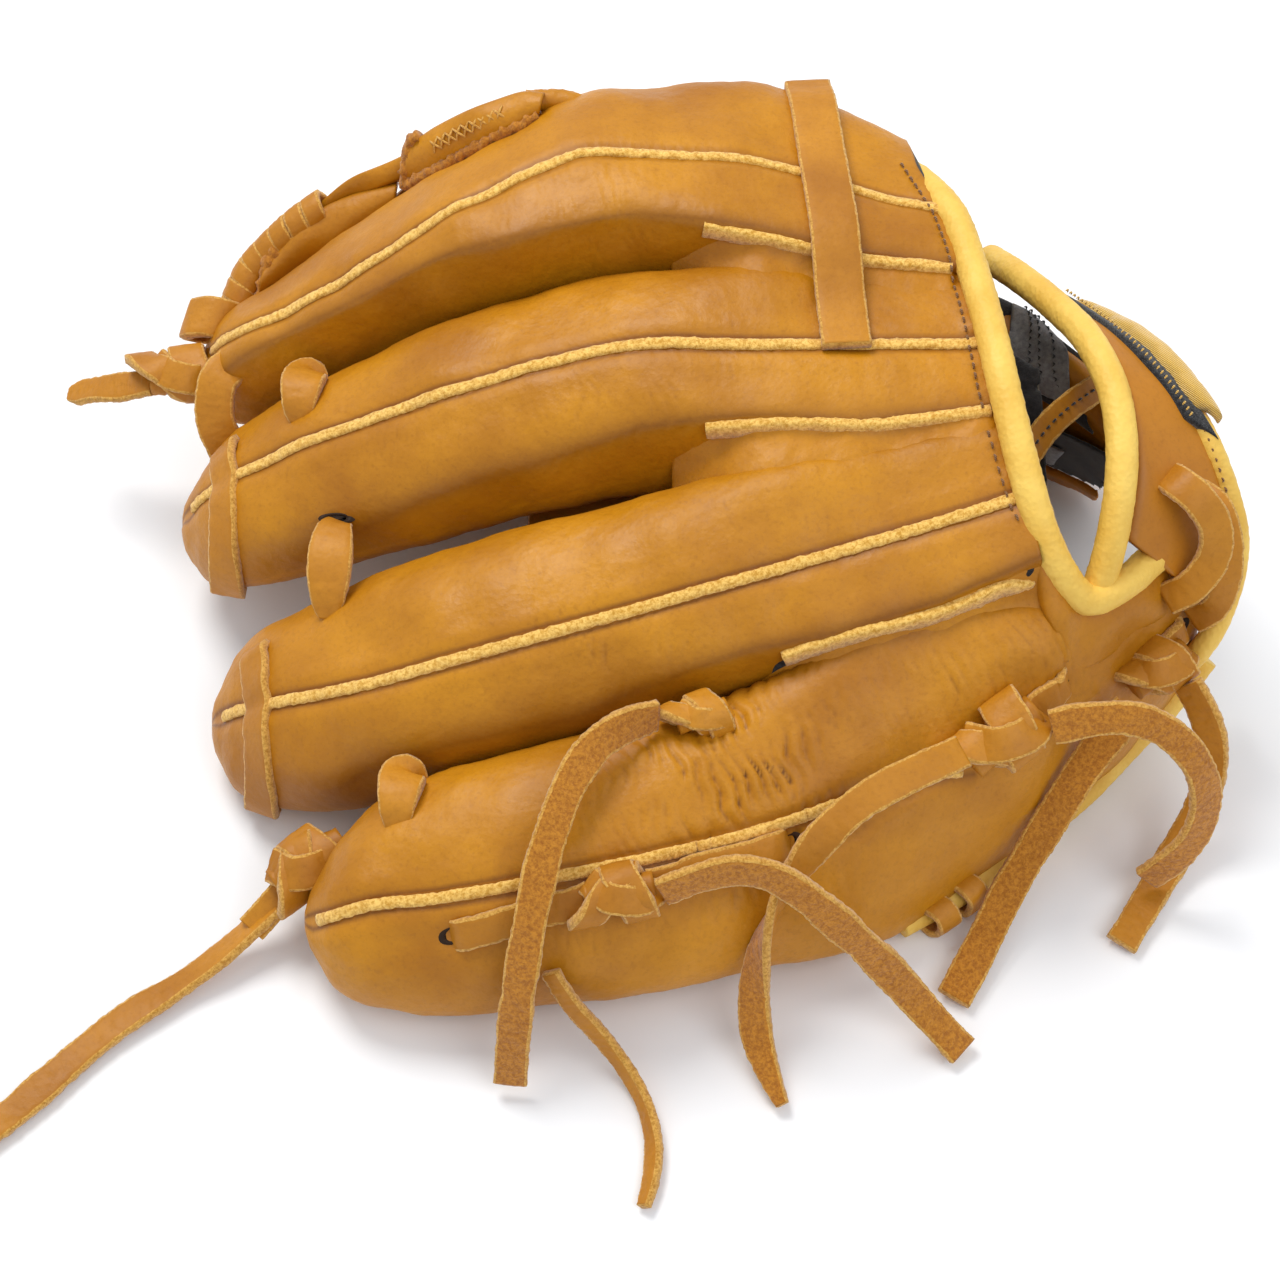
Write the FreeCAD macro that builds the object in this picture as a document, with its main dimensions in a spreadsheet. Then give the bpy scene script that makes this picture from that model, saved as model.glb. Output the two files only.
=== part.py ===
import FreeCAD, Part
import math
import os
from FreeCAD import Placement, Rotation, Vector

# A leather baseball glove for the left hand, lying palm down on its little-finger side and thumb heel.
# Millimetres. +Z is up, the fingers point to -X, the wrist to +X, the thumb and web lie to +Y.
# Stall sections stand in planes of constant x: (x, centre y, centre z, half width, half height, roll).
# Roll leans the back of a section towards the little finger's side, in degrees.

INDEX = [(-118, 96, 38, 5, 5, 0), (-113, 95.5, 41, 12, 10, 0), (-104, 95.5, 45, 19, 15, 0),
         (-80, 95, 57, 27, 20, -2), (-45, 101, 78, 31, 22, -4), (-8, 111, 87.5, 36, 21.5, -6),
         (28, 111, 89, 36, 17, -6), (62, 104, 88, 30, 12, -6), (104, 90, 88, 20, 7, -6)]
MIDDLE = [(-121, 52, 22, 5, 5, 10), (-116, 52, 25, 12, 11, 10), (-107, 53, 30, 20, 17, 12),
          (-82, 55, 44, 27, 21, 14), (-47, 56, 61, 29, 22, 16), (-8, 59, 73, 29, 21, 14),
          (28, 56, 80, 27, 17, 12), (60, 55, 84, 24, 11, 8), (104, 54, 90, 22, 7, 4)]
RING = [(-109, -4, 11, 5, 5, 20), (-104, -4, 13, 12, 10, 22), (-95, -5, 17, 20, 16, 24),
        (-74, -6, 28, 28, 20, 28), (-46, -4, 40, 30, 22, 32), (-8, 1, 51, 29, 21, 32),
        (28, 6, 61, 27, 17, 30), (62, 11, 70, 24, 11, 24), (108, 20, 82, 20, 7, 18)]
LITTLE = [(-79, -64, 17, 6, 5, 30), (-74, -63, 18, 13, 10, 30), (-64, -61, 20, 21, 15, 30),
          (-46, -59, 22, 30, 19, 32), (-12, -53, 25, 33, 21, 33), (25, -44, 28, 36, 20, 36),
          (62, -30, 33, 43, 16, 46), (98, -18, 34, 35, 13, 66), (112, -8, 29, 29, 13, 69),
          (126, 2, 30.5, 28, 11, 72), (142, 14, 37.5, 22.5, 7, 74)]
THUMB = [(-86, 104, 19, 5, 5, -50), (-80, 105, 20, 12, 10, -52), (-70, 107, 23, 18, 13, -56),
         (-48, 114, 30, 23, 15, -62), (-12, 123, 36, 26, 17, -66), (22, 126, 37, 29, 18, -67),
         (58, 121, 35, 33, 17, -67), (96, 105, 31, 35, 14, -65), (122, 84, 30, 31, 10, -62),
         (138, 62, 32, 20, 7, -56)]

# Valley lines between neighbouring fingers, in plan, from the tips to the wrist opening.
INDEX_MIDDLE_VALLEY = [(-140, 80), (-84, 82), (-36, 83), (0, 86), (45, 79), (81, 76), (116, 74)]
MIDDLE_RING_VALLEY = [(-140, 25), (-71, 27), (-35, 29), (0, 33), (53, 31), (86, 34), (116, 33)]
RING_LITTLE_VALLEY = [(-140, -36), (-52, -31), (-19, -28), (19, -20), (41, -16), (72, -9), (96, -1), (116, 8)]

# Centre line of the rolled binding on the edge of the back opening, from the index side to the heel corner.
BACK_EDGE = [(74, 113, 93), (80, 95, 98), (85, 74, 98), (89, 54, 98), (93, 38, 96)]
HEEL_EDGE = [(95, 30, 94), (98, 16, 88), (102, 3, 78), (107, -5, 67), (116, -4, 61), (127, 6, 61), (138, 17, 64)]

# Hand room under the back: (x, points of the top from thumb side to heel side, points of the floor).
HAND_ROOM = [
    (22, [(112, 90), (84, 86), (58, 82), (34, 75), (10, 64)], [(10, 54), (34, 58), (58, 70), (84, 76), (112, 80)]),
    (60, [(110, 92), (84, 91), (57, 88), (32, 83), (-8, 62)], [(-8, 40), (32, 50), (57, 60), (84, 65), (110, 74)]),
    (104, [(104, 90), (76, 92), (54, 90), (30, 86), (-2, 66)], [(-2, 40), (30, 54), (54, 60), (76, 63), (104, 72)]),
    (160, [(96, 92), (76, 94), (54, 92), (30, 86), (10, 66)], [(10, 36), (30, 50), (54, 56), (76, 59), (96, 70)]),
]

# Top line of the palm leather under the stalls: (x, [(y, z) from the thumb side to the little finger's side]).
PALM_HAND = [
    (-30, [(95, 54), (78, 49), (57, 41), (36, 31)]),
    (0, [(96, 59), (80, 56), (58, 49), (36, 38)]),
    (35, [(96, 61), (80, 60), (58, 54), (36, 44)]),
    (70, [(92, 62), (78, 61), (58, 56), (36, 47)]),
    (104, [(72, 60), (62, 59), (50, 56), (36, 51)]),
]
PALM_LITTLE = [
    (-30, [(28, 26), (12, 20), (-4, 14), (-20, 8)]),
    (0, [(30, 34), (14, 27), (-2, 20), (-16, 12)]),
    (35, [(31, 41), (18, 35), (6, 28), (-5, 20)]),
    (70, [(32, 44), (22, 39), (13, 33), (5, 26)]),
    (104, [(32, 48), (25, 44), (19, 39), (14, 33)]),
]

# Wrist strap: (inner edge point, outer edge point), from the thumb heel over the wrist to the little-finger heel.
STRAP = [
    ((97, 93, 72), (117, 84, 64)),
    ((104, 79, 86), (122, 69, 77)),
    ((110, 60, 94), (132, 52, 86)),
    ((114, 38, 95), (141, 34, 84)),
    ((117, 17, 88), (145, 21, 72)),
]

# Thin roll along the lower edge of the little-finger heel, from the palm round to the wrist.
HEEL_ROLL = [(66, -64, 3.4), (84, -53, 3.4), (99, -40, 3.6), (114, -28, 4.5), (128, -14, 6.5), (140, -3, 12),
             (148, 4, 22)]

# Web between index finger and thumb: (index edge, laced middle, thumb edge), from the tips to the crotch.
WEB = [
    ((-97, 121, 52), (-95, 124, 39), (-91, 120, 27)),
    ((-75, 128, 65), (-75, 131, 48), (-75, 125, 31)),
    ((-50, 138.5, 82), (-50, 142, 62), (-48, 136, 41)),
    ((-24, 146.5, 90), (-24, 150, 69), (-24, 142, 48)),
    ((-8, 150, 90), (-8, 152.5, 71), (-8, 146, 52)),
]

# Crotch panel: (index edge, thumb edge) from the web back to the wrist.
CROTCH = [
    ((-3, 150.5, 88), (-3, 146, 52)),
    ((20, 150.5, 86), (20, 148, 51)),
    ((50, 142.5, 86), (50, 144, 51)),
    ((70, 133, 87), (74, 136, 51)),
]

# Cord routes, from the knot outwards. The last point is the free end.
TAILS = {
    "little_tip_tail": [(-90, -57, 12), (-99, -64, 7), (-112, -74, 3.5), (-127, -84, 3), (-141, -99, 3),
                        (-153, -112, 3), (-167, -122, 3), (-181, -128, 3)],
    "knuckle_tail": [(4, -31, 58), (-6, -36, 61), (-15, -46, 59), (-21, -61, 54), (-25, -76, 45), (-28, -88, 32),
                     (-30, -96, 18), (-31, -101, 5)],
    "side_tail": [(5, -72, 46), (14, -70, 50), (24, -69, 52), (34, -71, 49.5), (46, -76, 39), (59, -80, 23),
                  (69, -85, 10), (78, -92, 3)],
    "side_thin_tail": [(-21, -84, 29), (-17, -88.5, 22), (-10, -91.5, 12), (-3, -98, 5), (2, -107, 2.5),
                       (4, -120, 2.5), (1, -131, 2.5)],
    "heel_left_tail": [(76, -40, 56), (64, -47, 58), (52, -53, 56), (41, -61, 50), (33, -69, 39), (28, -77, 26),
                       (27, -86, 13), (29, -95, 5.5), (34, -106, 3)],
    "heel_right_tail": [(98, -33, 56), (110, -32, 60), (123, -33, 58), (134, -37, 48), (139, -41, 33),
                        (135, -47, 19), (127, -48, 9.5)],
    "wrist_suede_tail": [(121, -18, 41), (112, -27, 36), (105, -35, 26), (98, -43, 15), (91, -53, 9.5),
                         (84, -66, 4), (77, -78, 3)],
    "wrist_grain_tail": [(136, -11, 42), (141, -17, 37), (144, -24, 27), (142, -31, 14), (136, -39, 5),
                         (128, -51, 3), (120, -63, 3)],
    "index_tip_tail": [(-133, 87, 43), (-141, 87, 41), (-150, 90, 37), (-158, 92, 32)],
}

# Lace knots: (centre, yaw, pitch) in degrees.
KNOTS = {
    "little_tip_knot": ((-84, -48, 16), 35, 0),
    "knuckle_knot": ((12, -28.5, 59.4), 20, 0),
    "side_knot": ((-5, -72.6, 44.2), 10, 0),
    "heel_knot": ((87, -36.4, 53.4), 40, 0),
    "wrist_knot": ((129, -11, 44.5), 40, 0),
    "index_tip_knot": ((-127, 88, 43), 10, 0),
}

# Lace over the strap end, which ties it to the little-finger heel.
STRAP_LOOP = [(123, 32, 95), (132, 31, 93), (141, 28, 89), (148, 22, 80), (150, 13, 69)]

doc = FreeCAD.newDocument("baseball_glove")
sheet = doc.addObject("Spreadsheet::Sheet", "sizes")

DRIVING_SIZES = [
    ("leather", "2.6"), ("lining", "1.2"), ("felt", "5"), ("wall_gap", "0.4"), ("joint_gap", "1.3"),
    ("stall_depth", "20"), ("welt_width", "3"), ("welt_height", "1.6"), ("binding_radius", "4"),
    ("heel_binding_radius", "3"), ("palm_leather", "3"), ("strap_thickness", "3.2"), ("lace_width", "8"),
    ("lace_thickness", "2.4"), ("tail_radius", "2.5"), ("finger_strap_width", "12"), ("knot_width", "14"),
    ("knot_height", "9"), ("knot_round", "2.5"), ("label_thickness", "1"),
    ("patch_thickness", "1.6"), ("face_thickness", "1.4"), ("thin_tail_radius", "1.6"), ("seam_share", "0.17"),
    ("shift_x", "-8.9"), ("shift_y", "-35.8"),
]
for row, (alias, value) in enumerate(DRIVING_SIZES, start=1):
    sheet.set(f"A{row}", alias)
    sheet.set(f"B{row}", value)
    sheet.setAlias(f"B{row}", alias)
doc.recompute()


def size(alias):
    return float(sheet.get(alias))


SHIFT = Vector(size("shift_x"), size("shift_y"), 0)
SECTION_POINTS = 14
FLOOR_DROP = 40
SKY = 200
nodes = []


def add_shape(name, shape):
    """A sub-part whose shape is worked out by Part's own functions."""
    item = doc.addObject("Part::Feature", name)
    item.Label = name
    item.Shape = shape
    item.Placement = Placement(SHIFT, Rotation())
    nodes.append(item)
    return item


def add_object(name, item, base, turn):
    """A sub-part built from the document's own primitives, set down at a point with a rotation."""
    item.Label = name
    item.Placement = Placement(Vector(*base) + SHIFT, turn)
    nodes.append(item)
    return item


# ---------------------------------------------------------------- sections and lofts

def roll_axes(roll):
    """The lateral and back directions of a section, as (y, z) pairs."""
    angle = math.radians(roll)
    return (math.cos(angle), math.sin(angle)), (-math.sin(angle), math.cos(angle))


def section(row, inset=0.0, slide=0.0, wide=1.0, high=1.0, lift=0.0):
    """A closed oval wire. lift moves it along the back direction by a share of the half height."""
    x, y, z, half_width, half_height, roll = row
    across, back = roll_axes(roll)
    a = (half_width - inset) * wide
    b = (half_height - inset) * high
    rise = (half_height - inset) * lift
    points = []
    for k in range(SECTION_POINTS):
        turn = 2 * math.pi * k / SECTION_POINTS
        u = a * math.cos(turn)
        v = b * math.sin(turn) + rise
        points.append(Vector(x + slide, y + u * across[0] + v * back[0], z + u * across[1] + v * back[1]))
    curve = Part.BSplineCurve()
    curve.interpolate(Points=points, PeriodicFlag=True)
    return Part.Wire([curve.toShape()])


def oval_loft(rows, **change):
    return Part.makeLoft([section(row, **change) for row in rows], True, False)


def between_rows(rows, x):
    """A section row at any x, by straight interpolation."""
    for low, high in zip(rows, rows[1:]):
        if low[0] <= x <= high[0]:
            part = (x - low[0]) / (high[0] - low[0])
            return tuple(p + (q - p) * part for p, q in zip(low, high))
    return rows[-1]


def inner_rows(rows, inset):
    """The rows whose section is still open after the inset, started a wall's thickness behind the tip."""
    kept = [row for row in rows if row[4] > inset + 3]
    return kept


def extended(rows, extra):
    """The rows with one more section past the wrist end, so that a cut opens the end."""
    last = rows[-1]
    return rows + [(last[0] + extra,) + last[1:]]


def stall_rows(rows, inset, depth):
    """The rows of a piece inside a stall, from behind the tip to the mouth at x = depth."""
    kept = [row for row in inner_rows(rows, inset) if row[0] < depth - 8]
    return kept + [between_rows(rows, depth)]


def prism(outline):
    """An upright block over a plan outline."""
    corners = [Vector(x, y, -FLOOR_DROP) for x, y in outline]
    return Part.Face(Part.makePolygon(corners + corners[:1])).extrude(Vector(0, 0, SKY))


def shifted(line, distance):
    return [(x, y + distance) for x, y in line]


def finger_block(thumb_side, heel_side, end_line, thumb_gap, heel_gap, end_gap):
    """The block between two valley lines, ended by the line of the back opening."""
    upper = shifted(thumb_side, -thumb_gap)
    lower = shifted(heel_side, heel_gap)
    end = [(x - end_gap, y) for x, y in end_line]
    high_y = height_at(upper, end[0][0])
    low_y = height_at(lower, end[-1][0])
    upper = [p for p in upper if p[0] < end[0][0] - 3]
    lower = [p for p in lower if p[0] < end[-1][0] - 3]
    return prism(upper + [(end[0][0], high_y)] + end[1:-1] + [(end[-1][0], low_y)] + lower[::-1])


def height_at(line, x):
    for (x1, y1), (x2, y2) in zip(line, line[1:]):
        if x1 <= x <= x2:
            return y1 + (y2 - y1) * (x - x1) / (x2 - x1)
    return line[-1][1]


def hand_room():
    """The space for the hand between the back and the palm, open at the wrist."""
    wires = []
    for x, top, floor in HAND_ROOM:
        points = [Vector(x, y, z) for y, z in top + floor]
        wires.append(Part.makePolygon(points + points[:1]))
    return Part.makeLoft(wires, True, True)


def ribbon_loft(stations, thickness):
    """A sheet through (x, line) stations. Each line is its top edge, and the thickness hangs below it."""
    wires = []
    for x, line in stations:
        top = [Vector(x, y, z) for y, z in line]
        low = [Vector(x, y, z - thickness) for y, z in reversed(line)]
        upper = Part.BSplineCurve()
        upper.interpolate(top)
        lower = Part.BSplineCurve()
        lower.interpolate(low)
        wires.append(Part.Wire([upper.toShape(), Part.makeLine(top[-1], low[0]), lower.toShape(),
                                Part.makeLine(low[-1], top[0])]))
    return Part.makeLoft(wires, True, False)


def strap_loft(pairs, thickness, start=0.0, end=1.0, drop=0.0):
    """A strap through pairs of edge points, each pair one rectangular section of it."""
    wires = []
    for k, (inner, outer) in enumerate(pairs):
        inner = Vector(*inner)
        outer = Vector(*outer)
        before = pairs[max(k - 1, 0)]
        after = pairs[min(k + 1, len(pairs) - 1)]
        along = Vector(*after[0]) - Vector(*before[0])
        normal = (outer - inner).cross(along)
        normal.normalize()
        if normal.z < 0:
            normal = normal * -1
        near = inner + (outer - inner) * start + normal * drop
        far = inner + (outer - inner) * end + normal * drop
        below = normal * -thickness
        wires.append(Part.makePolygon([near, far, far + below, near + below, near]))
    return Part.makeLoft(wires, True, False)


# ---------------------------------------------------------------- tubes

def tube(points, radius, report=None):
    """A round tube along straight runs joined by tangent arcs, each as large as its two runs allow."""
    points = [Vector(*p) for p in points]
    edges = []
    start = points[0]
    length = 0.0
    radii = []
    for before, corner, after in zip(points, points[1:], points[2:]):
        arriving = corner - before
        leaving = after - corner
        turn = arriving.getAngle(leaving)
        bend = 0.45 * min(arriving.Length, leaving.Length) / math.tan(turn / 2)
        reach = bend * math.tan(turn / 2)
        arriving.normalize()
        leaving.normalize()
        first = corner - arriving * reach
        last = corner + leaving * reach
        inward = leaving - arriving
        inward.normalize()
        middle = corner + inward * (bend / math.cos(turn / 2) - bend)
        edges.append(Part.makeLine(start, first))
        edges.append(Part.Arc(first, middle, last).toShape())
        length += (first - start).Length + bend * turn
        radii.append(bend)
        start = last
    edges.append(Part.makeLine(start, points[-1]))
    length += (points[-1] - start).Length
    path = Part.Wire(edges)
    ring = Part.Wire([Part.Circle(points[0], points[1] - points[0], radius).toShape()])
    solid = path.makePipeShell([ring], True, False, 2)
    if report:
        expected = math.pi * radius * radius * length
        worst = ", ".join(f"{r:.0f}" for r in radii)
        print(f"{report}: length {length:.0f} mm, volume {solid.Volume / expected:.4f} of expected, radii {worst}")
    return solid


def flat_lace(points, up, width, thickness):
    """A flat strip through points, with its broad face square to the up direction of each point."""
    wires = []
    for k, (point, lift) in enumerate(zip(points, up)):
        point = Vector(*point)
        lift = Vector(*lift)
        along = Vector(*points[min(k + 1, len(points) - 1)]) - Vector(*points[max(k - 1, 0)])
        side = along.cross(lift)
        side.normalize()
        lift = side.cross(along)
        lift.normalize()
        a = side * (width / 2)
        b = lift * thickness
        wires.append(Part.makePolygon([point - a, point + a, point + a + b, point - a + b, point - a]))
    return Part.makeLoft(wires, True, False)


# ---------------------------------------------------------------- stalls

def stall(name, rows, block, core_block, room, room_cut):
    """The outer leather of one finger: a closed tube at the stall, an open back strip over the hand."""
    leather = size("leather")
    outer = oval_loft(rows).common(block)
    inner = oval_loft(extended(inner_rows(rows, leather), 8), inset=leather, slide=leather).common(core_block)
    shell = outer.cut(inner)
    if room_cut:
        shell = shell.cut(room)
    shell = above_floor(largest(shell))
    add_shape(name + "_shell", shell)
    return outer


def largest(shape):
    return max(shape.Solids, key=lambda solid: solid.Volume)


def above_floor(shape):
    """The part of a shape over the plane that the glove rests on."""
    ground = Part.makeBox(600, 600, 60, Vector(-300, -300, -60))
    return largest(shape.cut(ground))


def stall_lining(name, rows, core_block, high, lift):
    """The lining tube that a finger goes into, closed behind the tip."""
    inset = size("leather") + 0.5
    lining = size("lining")
    kept = stall_rows(rows, inset + 5, size("stall_depth"))
    outer = oval_loft(kept, inset=inset, slide=4, wide=0.86, high=high, lift=lift).common(core_block)
    inner = oval_loft(extended(kept, 8), inset=inset + lining, slide=4 + lining, wide=0.84,
                      high=high - lining / 18, lift=lift).common(core_block)
    add_shape(name + "_lining", largest(outer.cut(inner)))


def felt_insert(name, rows, last_x, core_block):
    """The long felt insert on the palm side of an outer finger, from behind the tip to the heel."""
    inset = size("leather") + 0.5
    kept = [row for row in inner_rows(rows, inset + 5) if row[0] < last_x - 6] + [between_rows(rows, last_x)]
    pad = oval_loft(kept, inset=inset, slide=2, wide=0.64, high=0.28, lift=-0.64).common(core_block)
    add_shape(name, above_floor(largest(pad)))


def crest_welt(name, rows, shell_solid, first_x, last_x, share=0.0):
    """The raw-edge strip along the seam down the back of a finger, set over by a share of the half width."""
    width = size("welt_width")
    height = size("welt_height")
    wires = []
    xs = [row[0] for row in rows if first_x <= row[0] <= last_x]
    xs = [first_x] + [x for x in xs if x > first_x + 6 and x < last_x - 6] + [last_x]
    for x in xs:
        row = between_rows(rows, x)
        across, back = roll_axes(row[5])
        over = share * row[3]
        up = row[4] * math.sqrt(1 - share * share)
        y = row[1] + over * across[0] + back[0] * up
        z = row[2] + over * across[1] + back[1] * up
        corners = []
        for u, v in ((-0.5, -2.5), (0.5, -2.5), (0.5, 1), (-0.5, 1)):
            du = u * width
            dv = v * height
            corners.append(Vector(x, y + du * across[0] + dv * back[0], z + du * across[1] + dv * back[1]))
        wires.append(Part.makePolygon(corners + corners[:1]))
    strip = Part.makeLoft(wires, True, False)
    add_shape(name, largest(strip.cut(shell_solid)))


def valley_welt(name, points, shells, offset):
    """The raw-edge strip in the seam between two fingers over the back of the hand."""
    width = size("welt_width")
    low, high = -5, 1.6
    wires = []
    for x, y, z in points:
        y = y + offset
        corners = [Vector(x, y - width / 2, z + low), Vector(x, y + width / 2, z + low),
                   Vector(x, y + width / 2, z + high), Vector(x, y - width / 2, z + high)]
        wires.append(Part.makePolygon(corners + corners[:1]))
    strip = Part.makeLoft(wires, True, False)
    for shell_solid in shells:
        strip = strip.cut(shell_solid)
    add_shape(name, largest(strip))


def build_fingers():
    leather = size("leather")
    gap = size("wall_gap")
    joint = size("joint_gap")
    room = hand_room()
    wide_open = [(-140, 190), (200, 190)]
    low_open = [(-140, -120), (200, -120)]
    index_end = [(73, 190), (74, 113), (80, 95), (85, 74)]
    middle_end = [(84, 80), (89, 54), (94, 28)]
    ring_end = [(93, 38), (96.5, 16), (101.5, -7)]
    little_end = [(170, 60), (171, -130)]
    end_gap = size("binding_radius") + 0.8
    spans = {
        "index": (INDEX, wide_open, INDEX_MIDDLE_VALLEY, index_end, gap, gap),
        "middle": (MIDDLE, INDEX_MIDDLE_VALLEY, MIDDLE_RING_VALLEY, middle_end, gap, joint),
        "ring": (RING, MIDDLE_RING_VALLEY, RING_LITTLE_VALLEY, ring_end, joint, gap),
        "little": (LITTLE, RING_LITTLE_VALLEY, low_open, little_end, gap, gap),
    }
    solids = {}
    for name, (rows, upper, lower, end, up_gap, low_gap) in spans.items():
        block = finger_block(upper, lower, end, up_gap, low_gap, end_gap)
        core = finger_block(upper, lower, [(x + 40, y) for x, y in end], up_gap + leather, low_gap + leather, 0)
        solids[name] = stall(name, rows, block, core, room, True)
        filling = finger_block(upper, lower, end, up_gap + leather + 0.5, low_gap + leather + 0.5, end_gap)
        if name == "little":
            stall_lining(name, rows, filling, 0.5, 0.28)
        else:
            stall_lining(name, rows, filling, 0.84, 0)
    everywhere = prism([(-140, -120), (200, -120), (200, 190), (-140, 190)])
    little_core = prism([(-140, -120), (150, -120), (150, 20), (112, 8), (96, -6), (41, -22), (19, -25),
                         (-19, -33), (-52, -36), (-140, -41)])
    felt_insert("little_felt_insert", LITTLE, 62, little_core)
    solids["thumb"] = stall("thumb", THUMB, everywhere, everywhere, room, False)
    stall_lining("thumb", THUMB, everywhere, 0.5, 0.28)
    felt_insert("thumb_felt_insert", THUMB, 58, everywhere)
    crest_welt("index_welt", INDEX, solids["index"], -112, 72, -size("seam_share"))
    crest_welt("middle_welt", MIDDLE, solids["middle"], -104, 82)
    crest_welt("ring_welt", RING, solids["ring"], -93, 92)
    crest_welt("little_welt", LITTLE, solids["little"], -70, 60)
    valley_welt("index_middle_welt", [(14, 84.5, 95), (45, 79, 100), (80, 76, 98.5)],
                [solids["index"], solids["middle"]], 0)
    valley_welt("middle_ring_welt", [(14, 32.3, 78), (53, 31, 90), (86, 34, 92)],
                [solids["middle"], solids["ring"]], joint + 1.5)
    valley_welt("ring_little_welt", [(36, -17, 61), (64, -11, 72), (93, -2, 78)],
                [solids["ring"], solids["little"]], 0)
    return solids


def face_patch(name, rows, xs, low_u, high_u, gap, thickness):
    """A thin sheet lying on the palm side of an oval, between two heights across it."""
    wires = []
    for x in xs:
        row = between_rows(rows, x)
        across, back = roll_axes(row[5])
        corners = []
        for u, v in ((low_u, gap), (high_u, gap), (high_u, gap + thickness), (low_u, gap + thickness)):
            depth = -(row[4] + v)
            corners.append(Vector(x, row[1] + u * across[0] + depth * back[0],
                                  row[2] + u * across[1] + depth * back[1]))
        wires.append(Part.makePolygon(corners + corners[:1]))
    add_shape(name, Part.makeLoft(wires, True, False))


def raised(stations, rise, trim):
    """The stations of a sheet lifted, with its side edges drawn in by a share of the end spans."""
    lifted = []
    for x, line in stations:
        line = [(y, z + rise) for y, z in line]
        first = tuple(p + (q - p) * trim for p, q in zip(line[0], line[1]))
        last = tuple(p + (q - p) * trim for p, q in zip(line[-1], line[-2]))
        lifted.append((x, [first] + line[1:-1] + [last]))
    return lifted


def build_palm():
    leather = size("palm_leather")
    felt = size("felt")
    add_shape("palm_leather", ribbon_loft(PALM_HAND, leather))
    add_shape("palm_leather_little_side", ribbon_loft(PALM_LITTLE, leather))
    over_hand = [station for station in PALM_HAND if station[0] >= 35]
    add_shape("palm_felt_pad", ribbon_loft(raised(over_hand, felt + 0.9, 0.3), felt))
    add_shape("palm_lining", ribbon_loft(raised(over_hand, felt + 1.6 + size("lining"), 0.15), size("lining")))


def build_heel_linings():
    lining = size("lining")
    stations = (72, 84, 96, 109, 122, 130)
    face_patch("thumb_heel_lining", THUMB, stations, -20, 17, 1, lining)
    face_patch("inner_label", THUMB, (90, 96, 109, 116), -8, 10, 1.4 + lining, size("label_thickness"))
    face_patch("thumb_heel_facing", THUMB, stations, 18, 26, 1, size("leather"))


def build_bindings_and_strap():
    radius = size("binding_radius")
    thin = size("heel_binding_radius")
    add_shape("back_binding", tube(BACK_EDGE, radius))
    add_shape("heel_corner_binding", tube(HEEL_EDGE, radius))
    inner_edge = [pair[0] for pair in STRAP]
    outer_edge = [pair[1] for pair in STRAP]
    thickness = size("strap_thickness")
    add_shape("wrist_strap", strap_loft(STRAP, thickness, 0.24, 0.82, thickness / 2))
    add_shape("strap_inner_binding", tube(inner_edge, radius))
    add_shape("strap_outer_binding", tube(outer_edge, thin))
    add_shape("little_heel_binding", tube(HEEL_ROLL, thin))
    backing = size("patch_thickness")
    face = size("face_thickness")
    patch_pairs = STRAP[1:4]
    top = thickness / 2 + 0.7 + backing
    add_shape("patch_backing", strap_loft(patch_pairs, backing, 0.4, 0.82, top))
    add_shape("patch_face", strap_loft(patch_pairs, face, 0.5, 0.8, top + 0.4 + face))


def build_web():
    leather = size("leather")
    upper = [(index, middle) for index, middle, thumb in WEB]
    lower = [(middle, thumb) for index, middle, thumb in WEB]
    add_shape("web_index_panel", strap_loft(upper, leather, 0, 0.95))
    add_shape("web_thumb_panel", strap_loft(lower, leather, 0.05, 1))
    lace = [(x, y + 4, z + 2) for x, y, z in (middle for index, middle, thumb in WEB)]
    add_shape("web_lace", tube(lace, 2))
    add_shape("crotch_panel", strap_loft(CROTCH, leather))


def build_laces(solids):
    """The laces that tie the finger tips, the strips over the tips, the finger strap and the loops."""
    width = size("lace_width")
    thickness = size("lace_thickness")
    pieces = {
        "index_middle_tip_lace": ([(-84, 72, 60), (-85, 79, 63), (-86, 86, 65), (-87, 93, 69)], "y"),
        "middle_ring_tip_lace": ([(-82, 36, 58), (-83, 31, 54), (-84, 29.5, 49)], "y"),
        "ring_little_tip_lace": ([(-60, -20, 48), (-61, -28, 45), (-62, -38, 41), (-62, -47, 40)], "y"),
        "index_finger_strap": ([(44, 118, 104), (46, 106, 110), (48, 92, 108), (49, 78, 104), (49, 62, 102),
                                (49, 50, 100)], "strap"),
    }
    for name, (points, kind) in pieces.items():
        breadth = size("finger_strap_width") if kind == "strap" else width
        strip = flat_lace(points, [(0, 0, 1)] * len(points), breadth, thickness)
        for solid in solids.values():
            strip = strip.cut(solid)
        add_shape(name, largest(strip))


def tip_strip(name, rows, low_x, high_x, low_y, high_y, shell_solid):
    """A leather strip laid over the end of a finger, from valley to valley."""
    height = size("lace_thickness")
    outer = oval_loft([row for row in rows if row[0] <= high_x + 24], inset=-height)
    depth = 60
    half = Part.makeBox(high_x - low_x, high_y - low_y, depth, Vector(low_x, low_y, rows[3][2]))
    add_shape(name, largest(outer.common(half).cut(shell_solid)))


def build_tip_strips(solids):
    tip_strip("middle_tip_strip", MIDDLE, -113, -105, 28, 80, solids["middle"])
    tip_strip("ring_tip_strip", RING, -102, -94, -32, 22, solids["ring"])


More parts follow.
